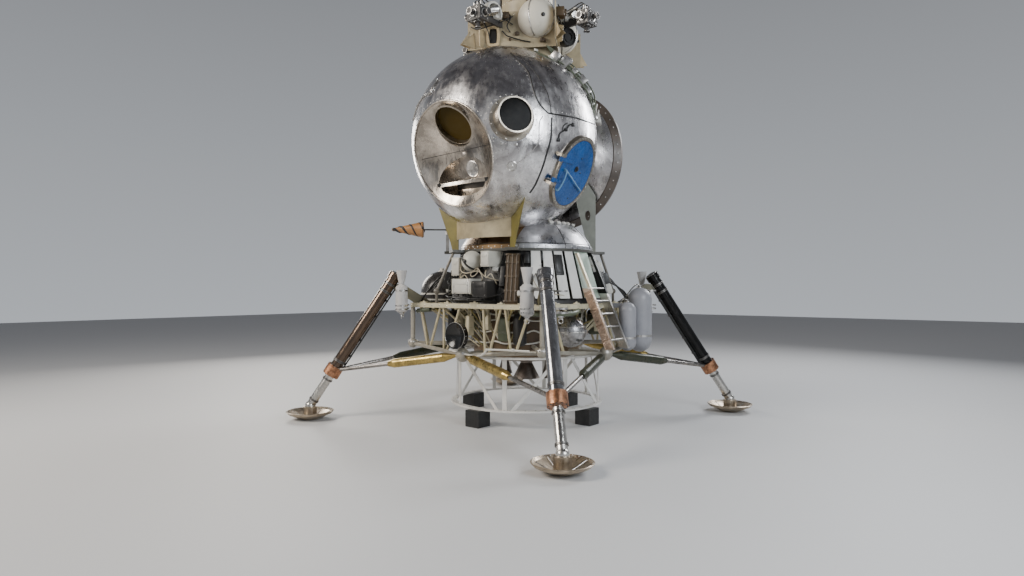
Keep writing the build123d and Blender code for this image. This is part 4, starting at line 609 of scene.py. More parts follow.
def leg_metal(name):
    """Upper leg tubes: dark chrome at the front right, black at the rear right, brown at the left."""
    material, tree, shader = new_shader(name)
    right = maths(tree, ABOVE, position(tree, "X"), 0.0)
    rear = maths(tree, ABOVE, position(tree, "Y"), 0.0)
    at_front = blend_colour(tree, right, (0.15, 0.105, 0.075), (0.36, 0.36, 0.37))
    at_rear = blend_colour(tree, right, (0.13, 0.1, 0.08), (0.02, 0.02, 0.02))
    stain = clouds(tree, (12.0, 8.0, 0.62, (1, 1, 0.3)), 0.4, 0.7, 0.0, 0.55)
    base = blend_colour(tree, stain, blend_colour(tree, rear, at_front, at_rear), (0.045, 0.042, 0.04))
    set_surface(tree, shader, base, 0.9, clouds(tree, (40.0, 6.0, 0.6, (1, 1, 0.15)), 0.3, 0.7, 0.1, 0.28))
    set_bump(tree, shader, noise(tree, 20.0, 3.0), 0.0015, 0.4)
    return material


def strut_metal(name):
    """Side struts: brass at the front and rear corners, dark green at the side corners."""
    material, tree, shader = new_shader(name)
    side = maths(tree, ABOVE, position(tree, "size of X"), position(tree, "size of Y"))
    base = blend_colour(tree, side, (0.52, 0.38, 0.13), (0.03, 0.036, 0.022))
    stain = clouds(tree, (15.0, 8.0, 0.65), 0.42, 0.7, 0.0, 0.7)
    base = blend_colour(tree, stain, base, (0.06, 0.05, 0.025))
    rough = clouds(tree, (25.0, 6.0), 0.3, 0.7, 0.22, 0.46)
    set_surface(tree, shader, base, levels(tree, side, 0.0, 1.0, 0.95, 0.2), rough)
    return material


def press_cells(material):
    """Press small cells into the upward faces of a metal, for the plate that the probe grips."""
    tree = material.node_tree
    shader = tree.nodes["Principled BSDF"]
    cells = node(tree, "ShaderNodeTexVoronoi", {"Vector": place(tree), "Scale": 17.0, "Randomness": 0.25},
                 feature="DISTANCE_TO_EDGE")
    surface = node(tree, "ShaderNodeNewGeometry")
    upright = node(tree, "ShaderNodeSeparateXYZ", {"Vector": surface.outputs["Normal"]})
    upward = levels(tree, upright.outputs["Z"], 0.5, 0.9)
    cell = maths(tree, "MULTIPLY", levels(tree, cells.outputs["Distance"], 0.02, 0.1), upward)
    set_bump(tree, shader, cell, 0.02, 0.9)
    connect(tree, shader, "Base Color", blend_colour(tree, cell, (0.55, 0.53, 0.49), (0.12, 0.115, 0.105)))


def recolour(material, colour, *limits):
    """Blend a look's base colour towards another where every limit holds."""
    tree = material.node_tree
    shader = tree.nodes["Principled BSDF"]
    base = shader.inputs["Base Color"].links[0].from_socket
    inside, *others = [maths(tree, test, position(tree, axis), limit) for axis, test, limit in limits]
    for other in others:
        inside = maths(tree, "MULTIPLY", inside, other)
    shade = blend_colour(tree, clouds(tree, (9.0, 6.0), 0.3, 0.7, 0.75, 1.0), darker(colour, 0.55), colour)
    connect(tree, shader, "Base Color", blend_colour(tree, inside, base, shade))


@cache
def look(name):
    """The material of a name, made when it is first worn."""
    if name in PAINTS:
        material = painted(name, *PAINTS[name])
    elif name in METALS:
        material = bare_metal(name, *METALS[name])
    else:
        makers = {"cabin_skin": cabin_skin, "window_tint": window_tint, "leg_metal": leg_metal,
                  "strut_metal": strut_metal}
        material = makers[name](name)
    for zone in ZONES.get(name, ()):
        recolour(material, *zone)
    if name == "docking_metal":
        press_cells(material)
    return material


# Modelling helpers


def smooth_route(points, steps):
    """Points along a smooth curve that passes through each given point or frame."""
    spots = [point.translation if isinstance(point, Matrix) else Vector(point) for point in points]
    ends = [spots[0] * 2 - spots[1], *spots, spots[-1] * 2 - spots[-2]]
    route = []
    for before, first, second, after in zip(ends, ends[1:], ends[2:], ends[3:]):
        for step in range(steps):
            part = step / steps
            linear = (second - before) * part
            square = (before * 2 - first * 5 + second * 4 - after) * part ** 2
            cube = (first * 3 - before - second * 3 + after) * part ** 3
            route.append((first * 2 + linear + square + cube) / 2)
    route.append(spots[-1])
    return route


def turns(count, extra=0):
    """Angles at equal steps round a circle, and as many more as asked."""
    return [2 * pi * step / count for step in range(count + extra)]


def join_rings(shape, rings, sides):
    """Faces between each ring of points and the next; a ring of one point closes to a tip."""
    for first, second in zip(rings, rings[1:]):
        for step in range(sides):
            after = (step + 1) % sides
            corners = [first[step % len(first)], first[after % len(first)],
                       second[after % len(second)], second[step % len(second)]]
            corners = list(dict.fromkeys(corners))
            if len(corners) > 2:
                shape.faces.new(corners)


def add_pipe(shape, points, radius, sides=10, steps=6):
    """A round pipe along a smooth curve through the points, closed at both ends."""
    route = smooth_route(points, steps)
    across = (route[1] - route[0]).orthogonal().normalized()
    rings = []
    for index, spot in enumerate(route):
        along = (route[min(index + 1, len(route) - 1)] - route[max(index - 1, 0)]).normalized()
        across = (across - along * across.dot(along)).normalized()
        other = along.cross(across)
        rings.append([shape.verts.new(spot + (across * cos(turn) + other * sin(turn)) * radius)
                      for turn in turns(sides)])
    join_rings(shape, rings, sides)
    shape.faces.new(rings[0][::-1])
    shape.faces.new(rings[-1])


def facing(spot, outward, upward=UP):
    """A frame at a spot whose z points outward and whose y points as far upward as it can."""
    out = Vector(outward).normalized()
    side = Vector(upward).cross(out)
    if side.length < 0.001:
        side = Vector((0, 1, 0)).cross(out)
    side.normalize()
    made = Matrix((side, out.cross(side), out)).transposed().to_4x4()
    made.translation = Vector(spot)
    return made


def moved(where, across, up, out=0.0):
    """A frame moved along its own axes."""
    return where @ Matrix.Translation((across, up, out))


def on_ring(where, radius, turn, out=0.0):
    """A frame moved to a point of a ring round its z axis."""
    return moved(where, radius * cos(turn), radius * sin(turn), out)


def add_box(shape, where, size, edge=0.003):
    """A box with rounded edges that stands on a frame's plane: width, height and depth outward."""
    middle = moved(where, 0, 0, size[2] / 2)
    made = bmesh.ops.create_cube(shape, size=1.0, matrix=middle @ Matrix.Diagonal((*size, 1)))
    edges = {side for vert in made["verts"] for side in vert.link_edges}
    bmesh.ops.bevel(shape, geom=list(edges), offset=edge, segments=2, affect="EDGES", profile=0.5)


def add_turned(shape, where, profile, sides=20):
    """Turn a profile of radius and rise about a frame's z axis."""
    rings = [[shape.verts.new(on_ring(where, radius, turn, rise).translation)
              for turn in turns(sides)[:sides if radius else 1]] for radius, rise in profile]
    join_rings(shape, rings, sides)


def add_stud(shape, where, radius=0.006, height=0.004, sides=10):
    """A low round head, for rivets and screws."""
    side = ((radius, -0.001), (radius * 0.95, height * 0.5), (radius * 0.6, height * 0.9), (0, height))
    add_turned(shape, where, side, sides)


def add_bolt(shape, where, radius):
    """A washer, a six-sided nut and the end of its bolt."""
    washer = ((1.5, -0.001 / radius), (1.5, 0.2), (0, 0.2))
    nut = ((1, 0), (1, 0.9), (0.85, 1), (0, 1))
    end = ((0.5, 0), (0.5, 1.4), (0.4, 1.5), (0, 1.5))
    for profile, sides in ((washer, 20), (nut, 6), (end, 12)):
        add_turned(shape, where, [(reach * radius, rise * radius) for reach, rise in profile], sides)


def add_bolts(shape, where, half_width, half_height, radius, out=0.0):
    """Bolts at the four corners of a rectangle on a frame."""
    for across in (-half_width, half_width):
        for up in (-half_height, half_height):
            add_bolt(shape, moved(where, across, up, out), radius)


def add_plug(shape, where, radius, rise, neck, reach, sides=20, foot=0.0, tip=0.0):
    """A round boss with a thinner neck on it."""
    side = ((radius, foot), (radius, rise), (neck, rise + 0.004), (neck, reach), (0, reach + tip))
    add_turned(shape, where, side, sides)


def add_band(shape, where, inner, outer, half, edge_half, sides):
    """A flat band round a tube: its radii, and half its height inside and outside."""
    add_turned(shape, where, ((inner, -half), (outer, -edge_half), (outer, edge_half), (inner, half)), sides)


def piece(name, shape, look_name="screw_steel", slot=None, body="lander"):
    """Make an object of a shape, with its look, and let it ride on a body; its slot is not used."""
    slot = slot or SLOTS[look_name]
    bmesh.ops.recalc_face_normals(shape, faces=shape.faces)
    mesh = bpy.data.meshes.new(name)
    shape.to_mesh(mesh)
    shape.free()
    mesh.materials.append(look(look_name))
    mesh.shade_smooth()
    mesh.set_sharp_from_angle(angle=radians(38))
    made = bpy.data.objects.new(name, mesh)
    bpy.context.scene.collection.objects.link(made)
    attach(made, body)
    return made


def shapes(count):
    """Empty shapes, one for each piece to come."""
    return [bmesh.new() for step in range(count)]


def around(centre, reach, azimuth, height=0.0):
    """A point at a reach and azimuth about a centre: azimuth 0 is the front, 90 the right."""
    turn = radians(azimuth)
    return Vector((centre[0] + reach * sin(turn), centre[1] - reach * cos(turn), centre[2] + height))


def at(azimuth, reach, height):
    """A point about the lander's axis."""
    return around((0, 0, height), reach, azimuth)


def heading(azimuth, elevation=0.0):
    """The unit vector that points to an azimuth and elevation."""
    turn = radians(azimuth)
    lift = radians(elevation)
    return Vector((sin(turn) * cos(lift), -cos(turn) * cos(lift), sin(lift)))


def met(name, start, way):
    """A frame where a straight line first meets a CAD node, z along its normal, or None where it misses."""
    hit, spot, normal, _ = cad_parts[name].ray_cast(Vector(start), Vector(way).normalized())
    return facing(spot, normal) if hit else None


def touch(name, start, way):
    """The same frame, for a line that has to meet the node."""
    where = met(name, start, way)
    if where is None:
        raise ValueError("the line misses " + name)
    return where


def stud_where_met(shape, name, start, way, radius, height=0.004):
    """A stud where a straight line meets a CAD node, or none where it misses."""
    where = met(name, start, way)
    if where is not None:
        add_stud(shape, where, radius, height)


# Fittings of the cabin


def cabin_frame(azimuth, elevation, lift=0.0):
    """A frame on the cabin ball, z outward, lifted off its skin."""
    out = heading(azimuth, elevation)
    return facing(CABIN_CENTRE + out * (CABIN_RADIUS + lift), out)


def beside(line, side, turn=0, rise=0):
    """A line on the cabin ball, turned and raised, on the right side or the left."""
    return [(side * (azimuth + turn), elevation + rise) for azimuth, elevation in line]


def cabin_line(shape, line, radius, lift=0.0, sides=8):
    """A pipe that lies on the cabin ball."""
    add_pipe(shape, [cabin_frame(*spot, lift) for spot in line], radius, sides)


def cabin_studs(shape, line, gap):
    """Rivets at equal gaps along a line on the cabin ball."""
    route = smooth_route([cabin_frame(*spot) for spot in line], 24)
    walked = gap
    for before, spot in zip(route, route[1:]):
        walked += (spot - before).length
        if walked >= gap:
            walked = 0.0
            add_stud(shape, facing(spot, spot - CABIN_CENTRE))


def cabin_ring(shape, axis, spread, count, *clear):
    """Rivets in a ring on the cabin ball, left out where another opening is near."""
    ring = facing((0, 0, 0), heading(*axis))
    for turn in turns(count):
        out = on_ring(ring, sin(radians(spread)), turn, cos(radians(spread))).translation
        if all(degrees(out.angle(heading(*other))) > room for other, room in clear):
            add_stud(shape, facing(CABIN_CENTRE + out * CABIN_RADIUS, out))


def cabin_seams():
    """Black beads along the joints of the cabin's panels, rivets beside them and round the openings."""
    beads, rivets = shapes(2)
    for side in (1, -1):
        for line, radius, lift, sides in CABIN_BEADS:
            cabin_line(beads, beside(line, side), radius, lift, sides)
        for line, turn, rise, gap in CABIN_RIVETS:
            cabin_studs(rivets, beside(line, side, turn, rise), gap)
    port_room = (PORT_AXIS, 14.5)
    dish_room = (DISH_AXIS, DISH_SPREAD + 2.4)
    cabin_ring(rivets, DISH_AXIS, DISH_SPREAD + 1.5, 64, port_room)
    cabin_ring(rivets, PORT_AXIS, PORT_SPREAD + 1.4, 28, dish_room, (HATCH_AXIS, 27))
    piece("cabin_seams", beads, "rubber_black", "black_wall")
    piece("cabin_rivets", rivets)


def cabin_wires():
    """The wire from the port to a small disc, the conduit over the dish, and a hook above the hatch."""
    wire, conduit, hook = shapes(3)
    cabin_line(wire, PORT_WIRE, 0.004, 0.002)
    disc = cabin_frame(*PORT_WIRE[-1])
    add_turned(wire, disc, ((0.052, -0.004), (0.052, 0.006), (0.046, 0.009), (0.044, 0.005), (0, 0.005)), 32)
    add_stud(wire, moved(disc, 0, 0, 0.004), 0.016, 0.012, 16)
    cabin_line(conduit, LEFT_CONDUIT, 0.008, 0.009, 12)
    cabin_line(conduit, beside(LEFT_CONDUIT, 1, -2.0, 1.4), 0.005, 0.006)
    for spot in LEFT_CONDUIT:
        add_box(conduit, cabin_frame(*spot), (0.03, 0.022, 0.02), 0.004)
    cabin_line(hook, HATCH_HOOK, 0.007, 0.012, 12)
    cabin_line(hook, HOOK_BRANCH, 0.005, 0.01)
    for spot in HATCH_HOOK[::2]:
        add_box(hook, cabin_frame(*spot), (0.035, 0.035, 0.016), 0.004)
    piece("port_wire", wire)
    piece("left_conduit", conduit)
    piece("hatch_hook", hook, "rubber_black")


def dish_start(across, rise):
    """A point in front of the dish panel, at an offset from its middle as seen straight on."""
    out = heading(*DISH_AXIS)
    return moved(facing(CABIN_CENTRE + out * (DISH_RIM_DISTANCE + 0.2), out), across, rise).translation


def dish_frame(across, rise):
    """A frame on the dish panel, with z along the dish's axis."""
    out = heading(*DISH_AXIS)
    return facing(touch("window_dish", dish_start(across, rise), -out).translation, out)


def dish_fittings():
    """The fold across the dish, a thin black plate in the slot as painted shadow, the slot's end blocks, the
    round plate and the screws.
    """
    slot, screws = shapes(2)
    fold = [dish_frame(across, 0.018 + 0.03 * across) for across in (-0.5, -0.3, -0.1, 0.1, 0.3, 0.5)]
    add_pipe(slot, [moved(spot, 0, 0, 0.001) for spot in fold], 0.0035)
    for across in (-0.345, 0.345):
        add_box(slot, dish_frame(across, -0.302), (0.035, 0.04, 0.012), 0.004)
    # A thin black plate on the floor of the slot under the bar: painted shadow in the recess.
    add_box(slot, dish_frame(0.0, -0.36), (0.5, 0.072, 0.003), 0.001)
    disc = dish_frame(0.02, -0.19)
    rim = ((0.07, -0.001), (0.088, 0.006), (0.08, 0.009), (0.074, 0.006), (0.02, 0.006), (0, 0.006))
    add_turned(screws, disc, rim, 40)
    for turn in turns(6):
        add_stud(screws, on_ring(disc, 0.062, turn, 0.005), 0.006, 0.005)
    for across in (-0.27, -0.09, 0.09, 0.27):
        add_stud(screws, dish_frame(across, -0.275), 0.007, 0.005)
    for turn in turns(24):
        offset = Vector((0.245 * cos(turn), 0.303 + 0.245 * sin(turn) * 0.86))
        if offset.length < 0.52:
            stud_where_met(screws, "window_dish", dish_start(*offset), -heading(*DISH_AXIS), 0.005)
    # The fold and the end blocks, with the black plate that paints the slot's shadow.
    piece("dish_fold_and_slot_shadow", slot, "rubber_black")
    piece("dish_screws", screws)


def port_fittings():
    """Screws round the side port, and three clips under it."""
    out = heading(*PORT_AXIS)
    ring = facing(CABIN_CENTRE + out * (CABIN_RADIUS + 0.1), out)
    shape = bmesh.new()
    for turn in turns(12):
        start = on_ring(ring, 0.207, turn + radians(15)).translation
        add_stud(shape, touch("window_frames", start, -out), 0.008, 0.006, 12)
    for spot in ((33.5, -9.5), (38.5, -12.3), (46.5, -12.9)):
        add_box(shape, cabin_frame(*spot), (0.03, 0.022, 0.014), 0.004)
    piece("port_screws", shape)


def hatch_frame(across, rise, lift=0.0):
    """A frame on the hatch door's face."""
    out = heading(*HATCH_AXIS)
    return moved(facing(CABIN_CENTRE + out * HATCH_FACE, out), across, rise, lift)


def hatch_fittings():
    """Studs round the hatch frame, and the thin bar with its handle and knobs on the door."""
    studs, bar, knobs = shapes(3)
    for turn in turns(44):
        across, rise = [(half + 0.026) * part for half, part in zip(HATCH_SIZE, (cos(turn), sin(turn)))]
        add_stud(studs, hatch_frame(across, rise), 0.007, 0.007)
    ends = ((-0.215, 0.02), (0.2, -0.16))
    low, high = [hatch_frame(*end, 0.026).translation for end in ends]
    add_pipe(bar, [low, (low + high) / 2, high], 0.007)
    for end in ends:
        add_pipe(bar, [hatch_frame(*end, lift) for lift in (0.026, 0.013, 0.001)], 0.009)
    add_pipe(bar, [hatch_frame(*spot) for spot in HATCH_HANDLE], 0.008)
    for across, rise in ((0.03, 0.17), (-0.02, -0.05), (0.1, 0.02), (0.05, -0.27)):
        add_stud(knobs, hatch_frame(across, rise), 0.009, 0.008, 14)
    knob = ((0.03, -0.001), (0.03, 0.008), (0.022, 0.012), (0.014, 0.012), (0.012, 0.022), (0, 0.024))
    add_turned(knobs, hatch_frame(0.0, 0.05), knob, 24)
    piece("hatch_studs", studs)
    piece("hatch_bar", bar, "bar_blue", body="hatch")
    piece("hatch_knob", knobs, "rubber_black", body="hatch")


def bay_fittings():
    """Bolts round the flange of the instrument bay, and small housings on its front cone."""
    bolts, boxes = shapes(2)
    centre = Vector((0, BAY_FLANGE_Y, BAY_HEIGHT))
    for name, count, reach, back, way, radius in (("bay_flange", 48, 0.83, -0.2, 1, 0.008),
                                                  ("instrument_bay", 40, 0.72, 0.8, -1, 0.009)):
        for turn in turns(count):
            start = centre + Vector((reach * cos(turn), back, reach * sin(turn)))
            stud_where_met(bolts, name, start, (0, way, 0), radius, 0.006)
    for x, rise in ((0.575, 0.472), (0.6, 0.39), (-0.575, 0.472)):
        start = (x * 1.3, 0.2, BAY_HEIGHT + rise * 1.3)
        where = touch("instrument_bay", start, (-x * 0.3, 0.45, -rise * 0.3))
        add_box(boxes, where, (0.06, 0.05, 0.045), 0.008)
        top = moved(where, 0, 0, 0.06).translation + Vector((0, 0, 0.06))
        add_pipe(boxes, [moved(where, 0, 0, 0.04), top, where.translation + Vector((0, 0, 0.14))], 0.008)
    piece("bay_bolts", bolts)
    piece("bay_housings", boxes, "fitting_white")


def skirt_frame(azimuth, height):
    """A frame on the skirt."""
    return touch("stage_skirt", at(azimuth, 1.2, height), -heading(azimuth))


def skirt_fittings():
    """Radial joints on the skirt, a bead round its top, clips, and bolts round its foot."""
    seams, studs, clips = shapes(3)
    for azimuth in (-142, -107, -72, 72, 107, 142, 178):
        add_pipe(seams, [skirt_frame(azimuth, height) for height in SKIRT_HEIGHTS], 0.0045)
        for height in SKIRT_HEIGHTS[2:-1]:
            for side in (-2.2, 2.2):
                add_stud(studs, skirt_frame(azimuth + side, height), 0.005, 0.003)
    add_pipe(seams, [skirt_frame(azimuth, 1.985) for azimuth in range(0, 361, 8)], 0.004, steps=2)
    for azimuth in range(0, 360, 6):
        add_stud(studs, skirt_frame(azimuth, 1.955), 0.007, 0.005)
    for azimuth in range(0, 360, 9):
        add_bolt(studs, Matrix.Translation(at(azimuth, 0.779, RING_TOP)), 0.006)
    for azimuth in (52, 60, 68, 79, 88, 97, 118, -60, -80, -100):
        where = skirt_frame(azimuth, 2.225)
        add_box(clips, where, (0.05, 0.035, 0.022), 0.005)
        add_stud(clips, moved(where, 0, 0, 0.021), 0.009, 0.007)
    piece("skirt_seams", seams, "rubber_black", "black_wall")
    piece("skirt_studs", studs)
    piece("skirt_clips", clips, "fitting_white")


# Fittings of the reaction control block, the core above it and the back of the bay


def plate_frame(turn):
    """The face of one beige plate: x along it, y up, z outward, with its origin on the floor."""
    return facing(at(PLATE_AZIMUTH + turn, PLATE_FACE, 0), heading(PLATE_AZIMUTH + turn))


def rounded_ring(shape, where, width, height, band, depth):
    """A flat rounded frame that stands proud of a plane."""
    corner = min(width, height) * 0.35
    rings = []
    for inset, rise in ((0, 0), (0, depth), (band, depth), (band, 0)):
        ring = []
        for step in range(48):
            turn = 2 * pi * (step + 0.5) / 48
            across = max(-1, min(1, 1.5 * cos(turn))) * (width / 2 - corner) + (corner - inset) * cos(turn)
            up = max(-1, min(1, 1.5 * sin(turn))) * (height / 2 - corner) + (corner - inset) * sin(turn)
            ring.append(shape.verts.new(moved(where, across, up, rise).translation))
        rings.append(ring)
    join_rings(shape, rings + rings[:1], 48)


def add_sheet(shape, corners, thickness):
    """A flat plate through a row of corners."""
    normal = (corners[1] - corners[0]).cross(corners[2] - corners[0]).normalized() * thickness / 2
    top = [shape.verts.new(spot + normal) for spot in corners]
    bottom = [shape.verts.new(spot - normal) for spot in corners]
    join_rings(shape, [top, bottom], len(corners))
    shape.faces.new(top)
    shape.faces.new(bottom[::-1])


def plate_fittings():
    """Framed openings, folded wings, boxes and hoses on the four beige plates."""
    frames, holes, wings, boxes, hoses, studs = shapes(6)
    for turn in QUARTERS:
        face = plate_frame(turn)
        opening = moved(face, -0.325, 4.345)
        rounded_ring(frames, opening, 0.155, 0.235, 0.032, 0.022)
        add_box(holes, opening, (0.1, 0.175, 0.004), 0.002)
        for corners in PLATE_WINGS:
            add_sheet(wings, [face @ Vector(corner) for corner in corners], 0.006)
        for across, height, width, tall, depth in PLATE_BOXES:
            add_box(boxes, moved(face, across, height), (width, tall, depth), 0.008)
            rim = ((0.3, 0), (0.3, 0.02), (0.2, 0.022), (0.18, 0.012), (0, 0.012))
            rim = [(share * width, rise) for share, rise in rim]
            add_turned(boxes, moved(face, across, height, depth), rim)
        for route in PLATE_HOSES:
            add_pipe(hoses, [face @ Vector(spot) for spot in route], 0.007)
        for step in range(12):
            add_stud(studs, moved(face, -0.6 + 0.085 * step, 4.59))
        for step in range(5):
            add_stud(studs, moved(face, -0.6, 4.24 + 0.07 * step))
    piece("plate_frames", frames, "wing_beige")
    piece("plate_holes", holes, "rubber_black")
    piece("plate_wings", wings, "wing_beige")
    piece("plate_boxes", boxes, "fitting_bronze")
    piece("plate_hoses", hoses, "rubber_black")
    piece("plate_studs", studs)


def tank_fittings():
    """A boss, a block and two straps on each of the four round tanks."""
    bosses, straps = shapes(2)
    for azimuth in (55, 145, 235, 325):
        centre = at(azimuth, TANK_REACH, TANK_HEIGHT)
        out = heading(azimuth, -9)
        boss = facing(centre + out * TANK_RADIUS, out)
        add_plug(bosses, boss, 0.022, 0.012, 0.014, 0.03, foot=-0.004, tip=0.002)
        out = heading(azimuth + 48, 4)
        add_box(bosses, facing(centre + out * TANK_RADIUS, out), (0.07, 0.06, 0.03), 0.006)
        side = facing((0, 0, 0), heading(azimuth))
        for lean in (-0.75, 0.75):
            route = []
            for step in range(-6, 7):
                turn = radians(step * 12)
                way = side @ Vector((sin(lean) * cos(turn), sin(turn), cos(lean) * cos(turn)))
                route.append(centre + way * (TANK_RADIUS + 0.002))
            add_pipe(straps, route, 0.006, steps=3)
    piece("tank_bosses", bosses, "rubber_black")
    piece("tank_straps", straps)


def pod_fittings():
    """Valves, nozzles, bands, brackets and hoses on the four thruster pods and their arms."""
    metal, dark, pale = shapes(3)
    for azimuth in QUARTERS:
        out = heading(azimuth)
        side = heading(azimuth + 90)
        middle = at(azimuth, POD_REACH, POD_HEIGHT)
        for shift in (-0.05, 0.0, 0.05):
            valve = facing(middle + side * shift + Vector((0, 0, 0.074)), UP, out)
            add_plug(metal, valve, 0.02, 0.03, 0.014, 0.06, tip=0.002)
            add_pipe(dark, [moved(valve, 0, -back, up) for back, up in
                            ((0, 0.06), (0.05, 0.1), (0.2, 0.06), (0.45, 0.02))], 0.007)
        rows = ((side, 0.095), (-side, 0.095), (out, 0.075))
        faces = [facing(middle + way * reach, way) for way, reach in rows]
        for face in (*faces, facing(middle + Vector(DOWN) * 0.075, DOWN, out)):
            add_bolts(metal, face, 0.05, 0.05, 0.007)
            add_turned(metal, face, ((0.046, 0), (0.046, 0.006), (0.04, 0.008), (0.036, 0.008)), 28)
            lip = ((0.034, 0), (0.038, 0.006), (0.038, 0.01), (0.033, 0.01), (0.03, 0.002))
            add_turned(metal, moved(face, 0, 0, 0.058), lip, 28)
        for distance in (0.4, 0.52, 0.64):
            clamp = facing(at(azimuth, distance, POD_HEIGHT + 0.03), UP, out)
            add_box(dark, clamp, (0.05, 0.04, 0.02), 0.004)
        can = at(azimuth, 0.66, POD_HEIGHT + 0.1) + side * 0.05
        add_turned(metal, facing(can, heading(azimuth - 40, -10)), CAN_PROFILE, 28)
        arch = [radians(-20 + 27.5 * step) for step in range(9)]
        arch = [at(azimuth, 0.66 + 0.11 * cos(turn), POD_HEIGHT + 0.07 + 0.1 * sin(turn)) for turn in arch]
        for spread in (0.02, 0.05, 0.08):
            add_pipe(pale, [spot + side * spread for spot in arch], 0.013, steps=3)
        add_box(pale, facing(at(azimuth, 0.57, POD_HEIGHT + 0.03), UP, out), (0.13, 0.1, 0.03), 0.008)
    piece("pod_valves", metal)
    piece("pod_hoses", dark, "rubber_black")
    piece("pod_brackets", pale, "fitting_white")


def rcs_cylinders():
    """A black round unit on each of the two side plates, and the bundle that hangs down behind the cabin."""
    units, hoses, clips = shapes(3)
    for turn in (90, 270):
        face = plate_frame(turn)
        add_box(units, moved(face, -0.29, 4.33), (0.1, 0.12, 0.05), 0.006)
        centre = moved(face, -0.29, 4.33, 0.09).translation
        unit = facing(centre, heading(PLATE_AZIMUTH + turn - 50, -8))
        add_turned(units, unit, UNIT_PROFILE, 36)
        for angle in turns(8):
            add_stud(units, on_ring(unit, 0.088, angle, 0.06), 0.006, 0.006)
    for side in (1, -1):
        for shift, lift in BUNDLE_HOSES:
            line = beside(BUNDLE_LINE, side, shift)
            lifts = [0.1] + [lift] * (len(line) - 2) + [0.0]
            add_pipe(hoses, [cabin_frame(*spot, rise) for spot, rise in zip(line, lifts)], 0.009)
        for azimuth, elevation, size in BUNDLE_BOXES:
            add_box(clips, cabin_frame(side * azimuth, elevation, -0.003), size, 0.008)
        add_box(clips, cabin_frame(side * 131.5, 14.5, -0.004), (0.34, 0.045, 0.03), 0.006)
    piece("round_units", units, "rubber_black")
    piece("rear_bundle", hoses, "bundle_green")
    piece("rear_clips", clips)


def collar_sheet():
    """Two thin olive blankets on the ball's shoulders, beside the reaction control housing."""
    sheet, clips = shapes(2)
    for side in (1, -1):
        lines = []
        for azimuth in range(76, 143, 3):
            wave = 1.6 * sin(radians(azimuth * 11))
            heights = [61 - 3.4 * share + wave * share / 3 for share in range(4)]
            spots = [cabin_frame(side * azimuth, height, 0.006).translation for height in heights]
            lines.append([sheet.verts.new(spot) for spot in spots])
        for first, second in zip(lines, lines[1:]):
            for step in range(3):
                corners = (first[step], first[step + 1], second[step + 1], second[step])
                sheet.faces.new(corners if side == 1 else corners[::-1])
        for azimuth, elevation in ((80, 60), (91, 52), (103, 58), (117, 53), (129, 59)):
            add_box(clips, cabin_frame(side * azimuth, elevation, 0.004), (0.04, 0.03, 0.022), 0.005)
    made = piece("rcs_collar", sheet, "bundle_green")
    made.modifiers.new("thickness", "SOLIDIFY").thickness = 0.004
    piece("collar_clips", clips, "fitting_white")


def core_fittings():
    """Rivet rows, covers and lines on the round core under the docking plate."""
    studs, covers, lines = shapes(3)
    for height in (4.8, 4.94, 5.06):
        for azimuth in range(0, 360, 10):
            add_stud(studs, facing(at(azimuth, CORE_REACH, height), heading(azimuth)))
    for azimuth in (10, 100, 190, 280):
        cover = facing(at(azimuth, CORE_REACH - 0.008, 4.9), heading(azimuth))
        add_box(covers, cover, (0.16, 0.2, 0.018), 0.006)
        for across in (-0.065, 0.065):
            for up in (-0.085, 0.085):
                add_stud(studs, moved(cover, across, up, 0.018))
    for azimuth in CORE_LINES:
        route = [at(azimuth + (height - 4.7) * 18, CORE_REACH + 0.008, height)
                 for height in (4.58, 4.72, 4.86, 4.98, 5.078)]
        add_pipe(lines, route, 0.009)
        for height in (4.78, 5.0):
            spot = at(azimuth + (height - 4.7) * 18, CORE_REACH - 0.001, height)
            add_box(lines, facing(spot, heading(azimuth)), (0.035, 0.018, 0.02), 0.004)
    for azimuth in range(0, 360, 30):
        add_bolt(studs, facing(at(azimuth, 0.45, 5.08), DOWN, heading(azimuth)), 0.009)
    piece("core_studs", studs)
    piece("core_covers", covers, "wing_beige")
    piece("core_lines", lines, "rubber_black")


def bay_frame(x, rise):
    """A frame on the domed back of the instrument bay."""
    return touch("instrument_bay", (x, BAY_BEHIND, BAY_HEIGHT + rise), (0, -1, 0))


def bay_rear():
    """Two round joints, six joints between them and a few housings on the back of the instrument bay."""
    seams, studs, boxes = shapes(3)
    for radius, count in ((0.3, 24), (0.56, 40)):
        route = [bay_frame(radius * cos(turn), radius * sin(turn)) for turn in turns(48, 1)]
        add_pipe(seams, route, 0.004, steps=2)
        for turn in turns(count):
            add_stud(studs, bay_frame((radius - 0.03) * cos(turn), (radius - 0.03) * sin(turn)))
    for turn in turns(6):
        reaches = (0.3, 0.4, 0.5, 0.6, 0.7)
        add_pipe(seams, [bay_frame(reach * cos(turn), reach * sin(turn)) for reach in reaches], 0.0035)
    for x, height, width, tall in REAR_HOUSINGS:
        where = moved(bay_frame(x, height - BAY_HEIGHT), 0, 0, -0.006)
        add_box(boxes, where, (width, tall, 0.05), 0.008)
        for side in (-0.3, 0.3):
            add_bolt(studs, moved(where, width * side, 0, 0.05), 0.008)
    piece("bay_seams", seams, "rubber_black", "black_wall")
    piece("bay_studs", studs)
    piece("bay_boxes", boxes, "fitting_white")


# Fittings of the landing stage


def wall_frame(azimuth, height, lift=0.0):
    """A frame on the equipment wall: x along it, y up, z outward."""
    share = (WALL_TOP[1] - height) / (WALL_TOP[1] - WALL_FOOT[1])
    reach = WALL_TOP[0] + (WALL_FOOT[0] - WALL_TOP[0]) * share
    return facing(at(azimuth, reach + lift, height), heading(azimuth, WALL_LEAN))


